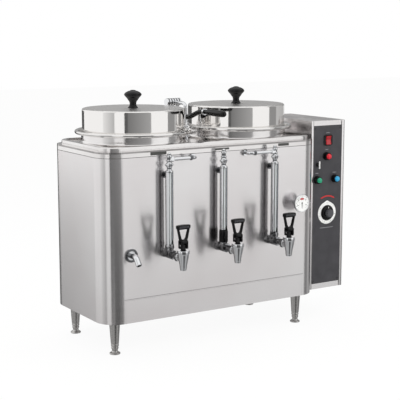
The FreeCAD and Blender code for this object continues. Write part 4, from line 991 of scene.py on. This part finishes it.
lamps = {"keyLamp": ((-2.2, -2.6, 2.9), (0, 0, 0.35), (1.8, 1.8), 44),
         "fillLamp": ((2.6, -2.2, 1.8), (0, 0, 0.35), (1.6, 1.6), 18),
         "topLamp": ((0.2, 0.4, 3.0), (0, 0, 0.3), (2.2, 1.6), 26)}


def makeWorld():  # white to the camera and in glass, softer as a light, darker below the horizon in metal
    world = bpy.data.worlds.new("studioWorld")
    bpy.context.scene.world = world
    tree = clearTree(world)
    path = addNode(tree, "ShaderNodeLightPath")
    direct = addNode(tree, "ShaderNodeMath", {"operation": "MAXIMUM"},
                     {0: path.outputs["Is Camera Ray"], 1: path.outputs["Is Glossy Ray"]})
    seen = addNode(tree, "ShaderNodeMath", {"operation": "MAXIMUM"},
                   {0: direct.outputs[0], 1: path.outputs["Is Transmission Ray"]})
    heading = addNode(tree, "ShaderNodeTexCoord")
    tilt = addNode(tree, "ShaderNodeSeparateXYZ", links={0: heading.outputs["Generated"]})
    start, end, bright, dim = studio["fall"]
    fall = addNode(tree, "ShaderNodeMapRange", {"From Min": end, "From Max": start, "To Min": dim,
                                                "To Max": bright}, {"Value": tilt.outputs["Z"]})
    shade = addNode(tree, "ShaderNodeMix", {"data_type": "FLOAT", 2: 1.0},
                    {0: path.outputs["Is Glossy Ray"], 3: fall.outputs[0]})
    soft = addNode(tree, "ShaderNodeBackground", {"Color": linear("FFFFFF"), "Strength": studio["worldSoft"]})
    white = addNode(tree, "ShaderNodeBackground", {"Color": linear("FFFFFF")}, {"Strength": shade.outputs[0]})
    mix = addNode(tree, "ShaderNodeMixShader",
                  links={0: seen.outputs[0], 1: soft.outputs[0], 2: white.outputs[0]})
    addNode(tree, "ShaderNodeOutputWorld", links={"Surface": mix.outputs[0]})


def makeFloor():  # pale sheet, nearly self-lit to the camera so that it keeps only soft shadows
    bm = bmesh.new()
    bmesh.ops.create_grid(bm, x_segments=1, y_segments=1, size=studio["floorSize"])
    floor = toObject("studioFloor", bm, 38)
    mat = bpy.data.materials.new("paleFloor")
    tree = clearTree(mat)
    path = addNode(tree, "ShaderNodeLightPath")
    weight = addNode(tree, "ShaderNodeMath", {"operation": "MULTIPLY", 1: studio["floorGlow"]},
                     {0: path.outputs["Is Camera Ray"]})
    diffuse = addNode(tree, "ShaderNodeBsdfDiffuse", {"Color": linear(studio["floor"])})
    glow = addNode(tree, "ShaderNodeEmission", {"Color": linear("FFFFFF"), "Strength": 1.0})
    mix = addNode(tree, "ShaderNodeMixShader",
                  links={0: weight.outputs[0], 1: diffuse.outputs[0], 2: glow.outputs[0]})
    addNode(tree, "ShaderNodeOutputMaterial", links={"Surface": mix.outputs[0]})
    floor.data.materials.append(mat)
    floor.visible_glossy = False


def makeCards():
    count = studio["cardColumns"]
    fadeFrom, fadeSlope, fadeLeast = studio["cardFade"]
    bm = bmesh.new()
    tone = bm.loops.layers.float_color.new("cardTone")
    for start, end, low, high, first, last in studio["cards"]:
        levels = [low] + [z for z in studio["cardLevels"] if low < z < high] + [high]
        columns = arcPoints(studio["cardRadius"], start, end, count)
        for foot, top in zip(levels, levels[1:]):
            for i in range(count):
                corners = ((i, foot), (i + 1, foot), (i + 1, top), (i, top))
                face = bm.faces.new([bm.verts.new((*columns[c], z)) for c, z in corners])
                for loop, (c, z) in zip(face.loops, corners):
                    grey = first + (last - first) * c / count
                    grey *= min(max(1.0 + (z - fadeFrom) * fadeSlope, fadeLeast), 1.0)
                    loop[tone] = (grey, grey, grey, 1.0)
    mesh = bpy.data.meshes.new("greyCards")
    bm.to_mesh(mesh)
    bm.free()
    cards = newObject("greyCards", mesh)
    mat = bpy.data.materials.new("greyCards")
    tree = clearTree(mat)
    toneRead = addNode(tree, "ShaderNodeVertexColor", {"layer_name": "cardTone"})
    glow = addNode(tree, "ShaderNodeEmission", {"Strength": 1.0}, {"Color": toneRead.outputs[0]})
    addNode(tree, "ShaderNodeOutputMaterial", links={"Surface": glow.outputs[0]})
    mesh.materials.append(mat)
    cards.visible_camera = False
    cards.visible_diffuse = False
    cards.visible_shadow = False
    cards.visible_transmission = False


def makeLamp(name, place, aim, size, power):
    lamp = bpy.data.lights.new(name, "AREA")
    lamp.shape = "RECTANGLE"
    lamp.size, lamp.size_y = size
    lamp.energy = power
    obj = newObject(name, lamp)
    obj.location = place
    obj.rotation_euler = (Vector(aim) - Vector(place)).to_track_quat("-Z", "Y").to_euler()
    obj.visible_glossy = False


# The photograph's camera: its place in mm, its focal length in pixels of a square frame
view = {"azimuth": -32.16, "elevation": 9.13, "place": (-1646.7, -2688.9, 895.2), "focalPx": 1077.7,
        "framePx": 400, "sensor": 36.0, "clipEnd": 60}


def makeCamera():
    camera = bpy.data.cameras.new("photoCamera")
    camera.sensor_width = view["sensor"]
    camera.lens = view["focalPx"] / view["framePx"] * camera.sensor_width
    camera.clip_end = view["clipEnd"]
    obj = newObject("photoCamera", camera)
    az, el = math.radians(view["azimuth"]), math.radians(view["elevation"])
    behind = Vector((math.sin(az) * math.cos(el), -math.cos(az) * math.cos(el), math.sin(el)))
    side = up.cross(behind).normalized()
    basis = Matrix((side, behind.cross(side), behind)).transposed().to_4x4()
    obj.matrix_world = Matrix.Translation(at(*view["place"])) @ basis
    bpy.context.scene.camera = obj


makeWorld()
makeFloor()
makeCards()
for name, values in lamps.items():
    makeLamp(name, *values)
makeCamera()
bpy.context.scene.view_settings.view_transform = "Standard"
print("studio ready")
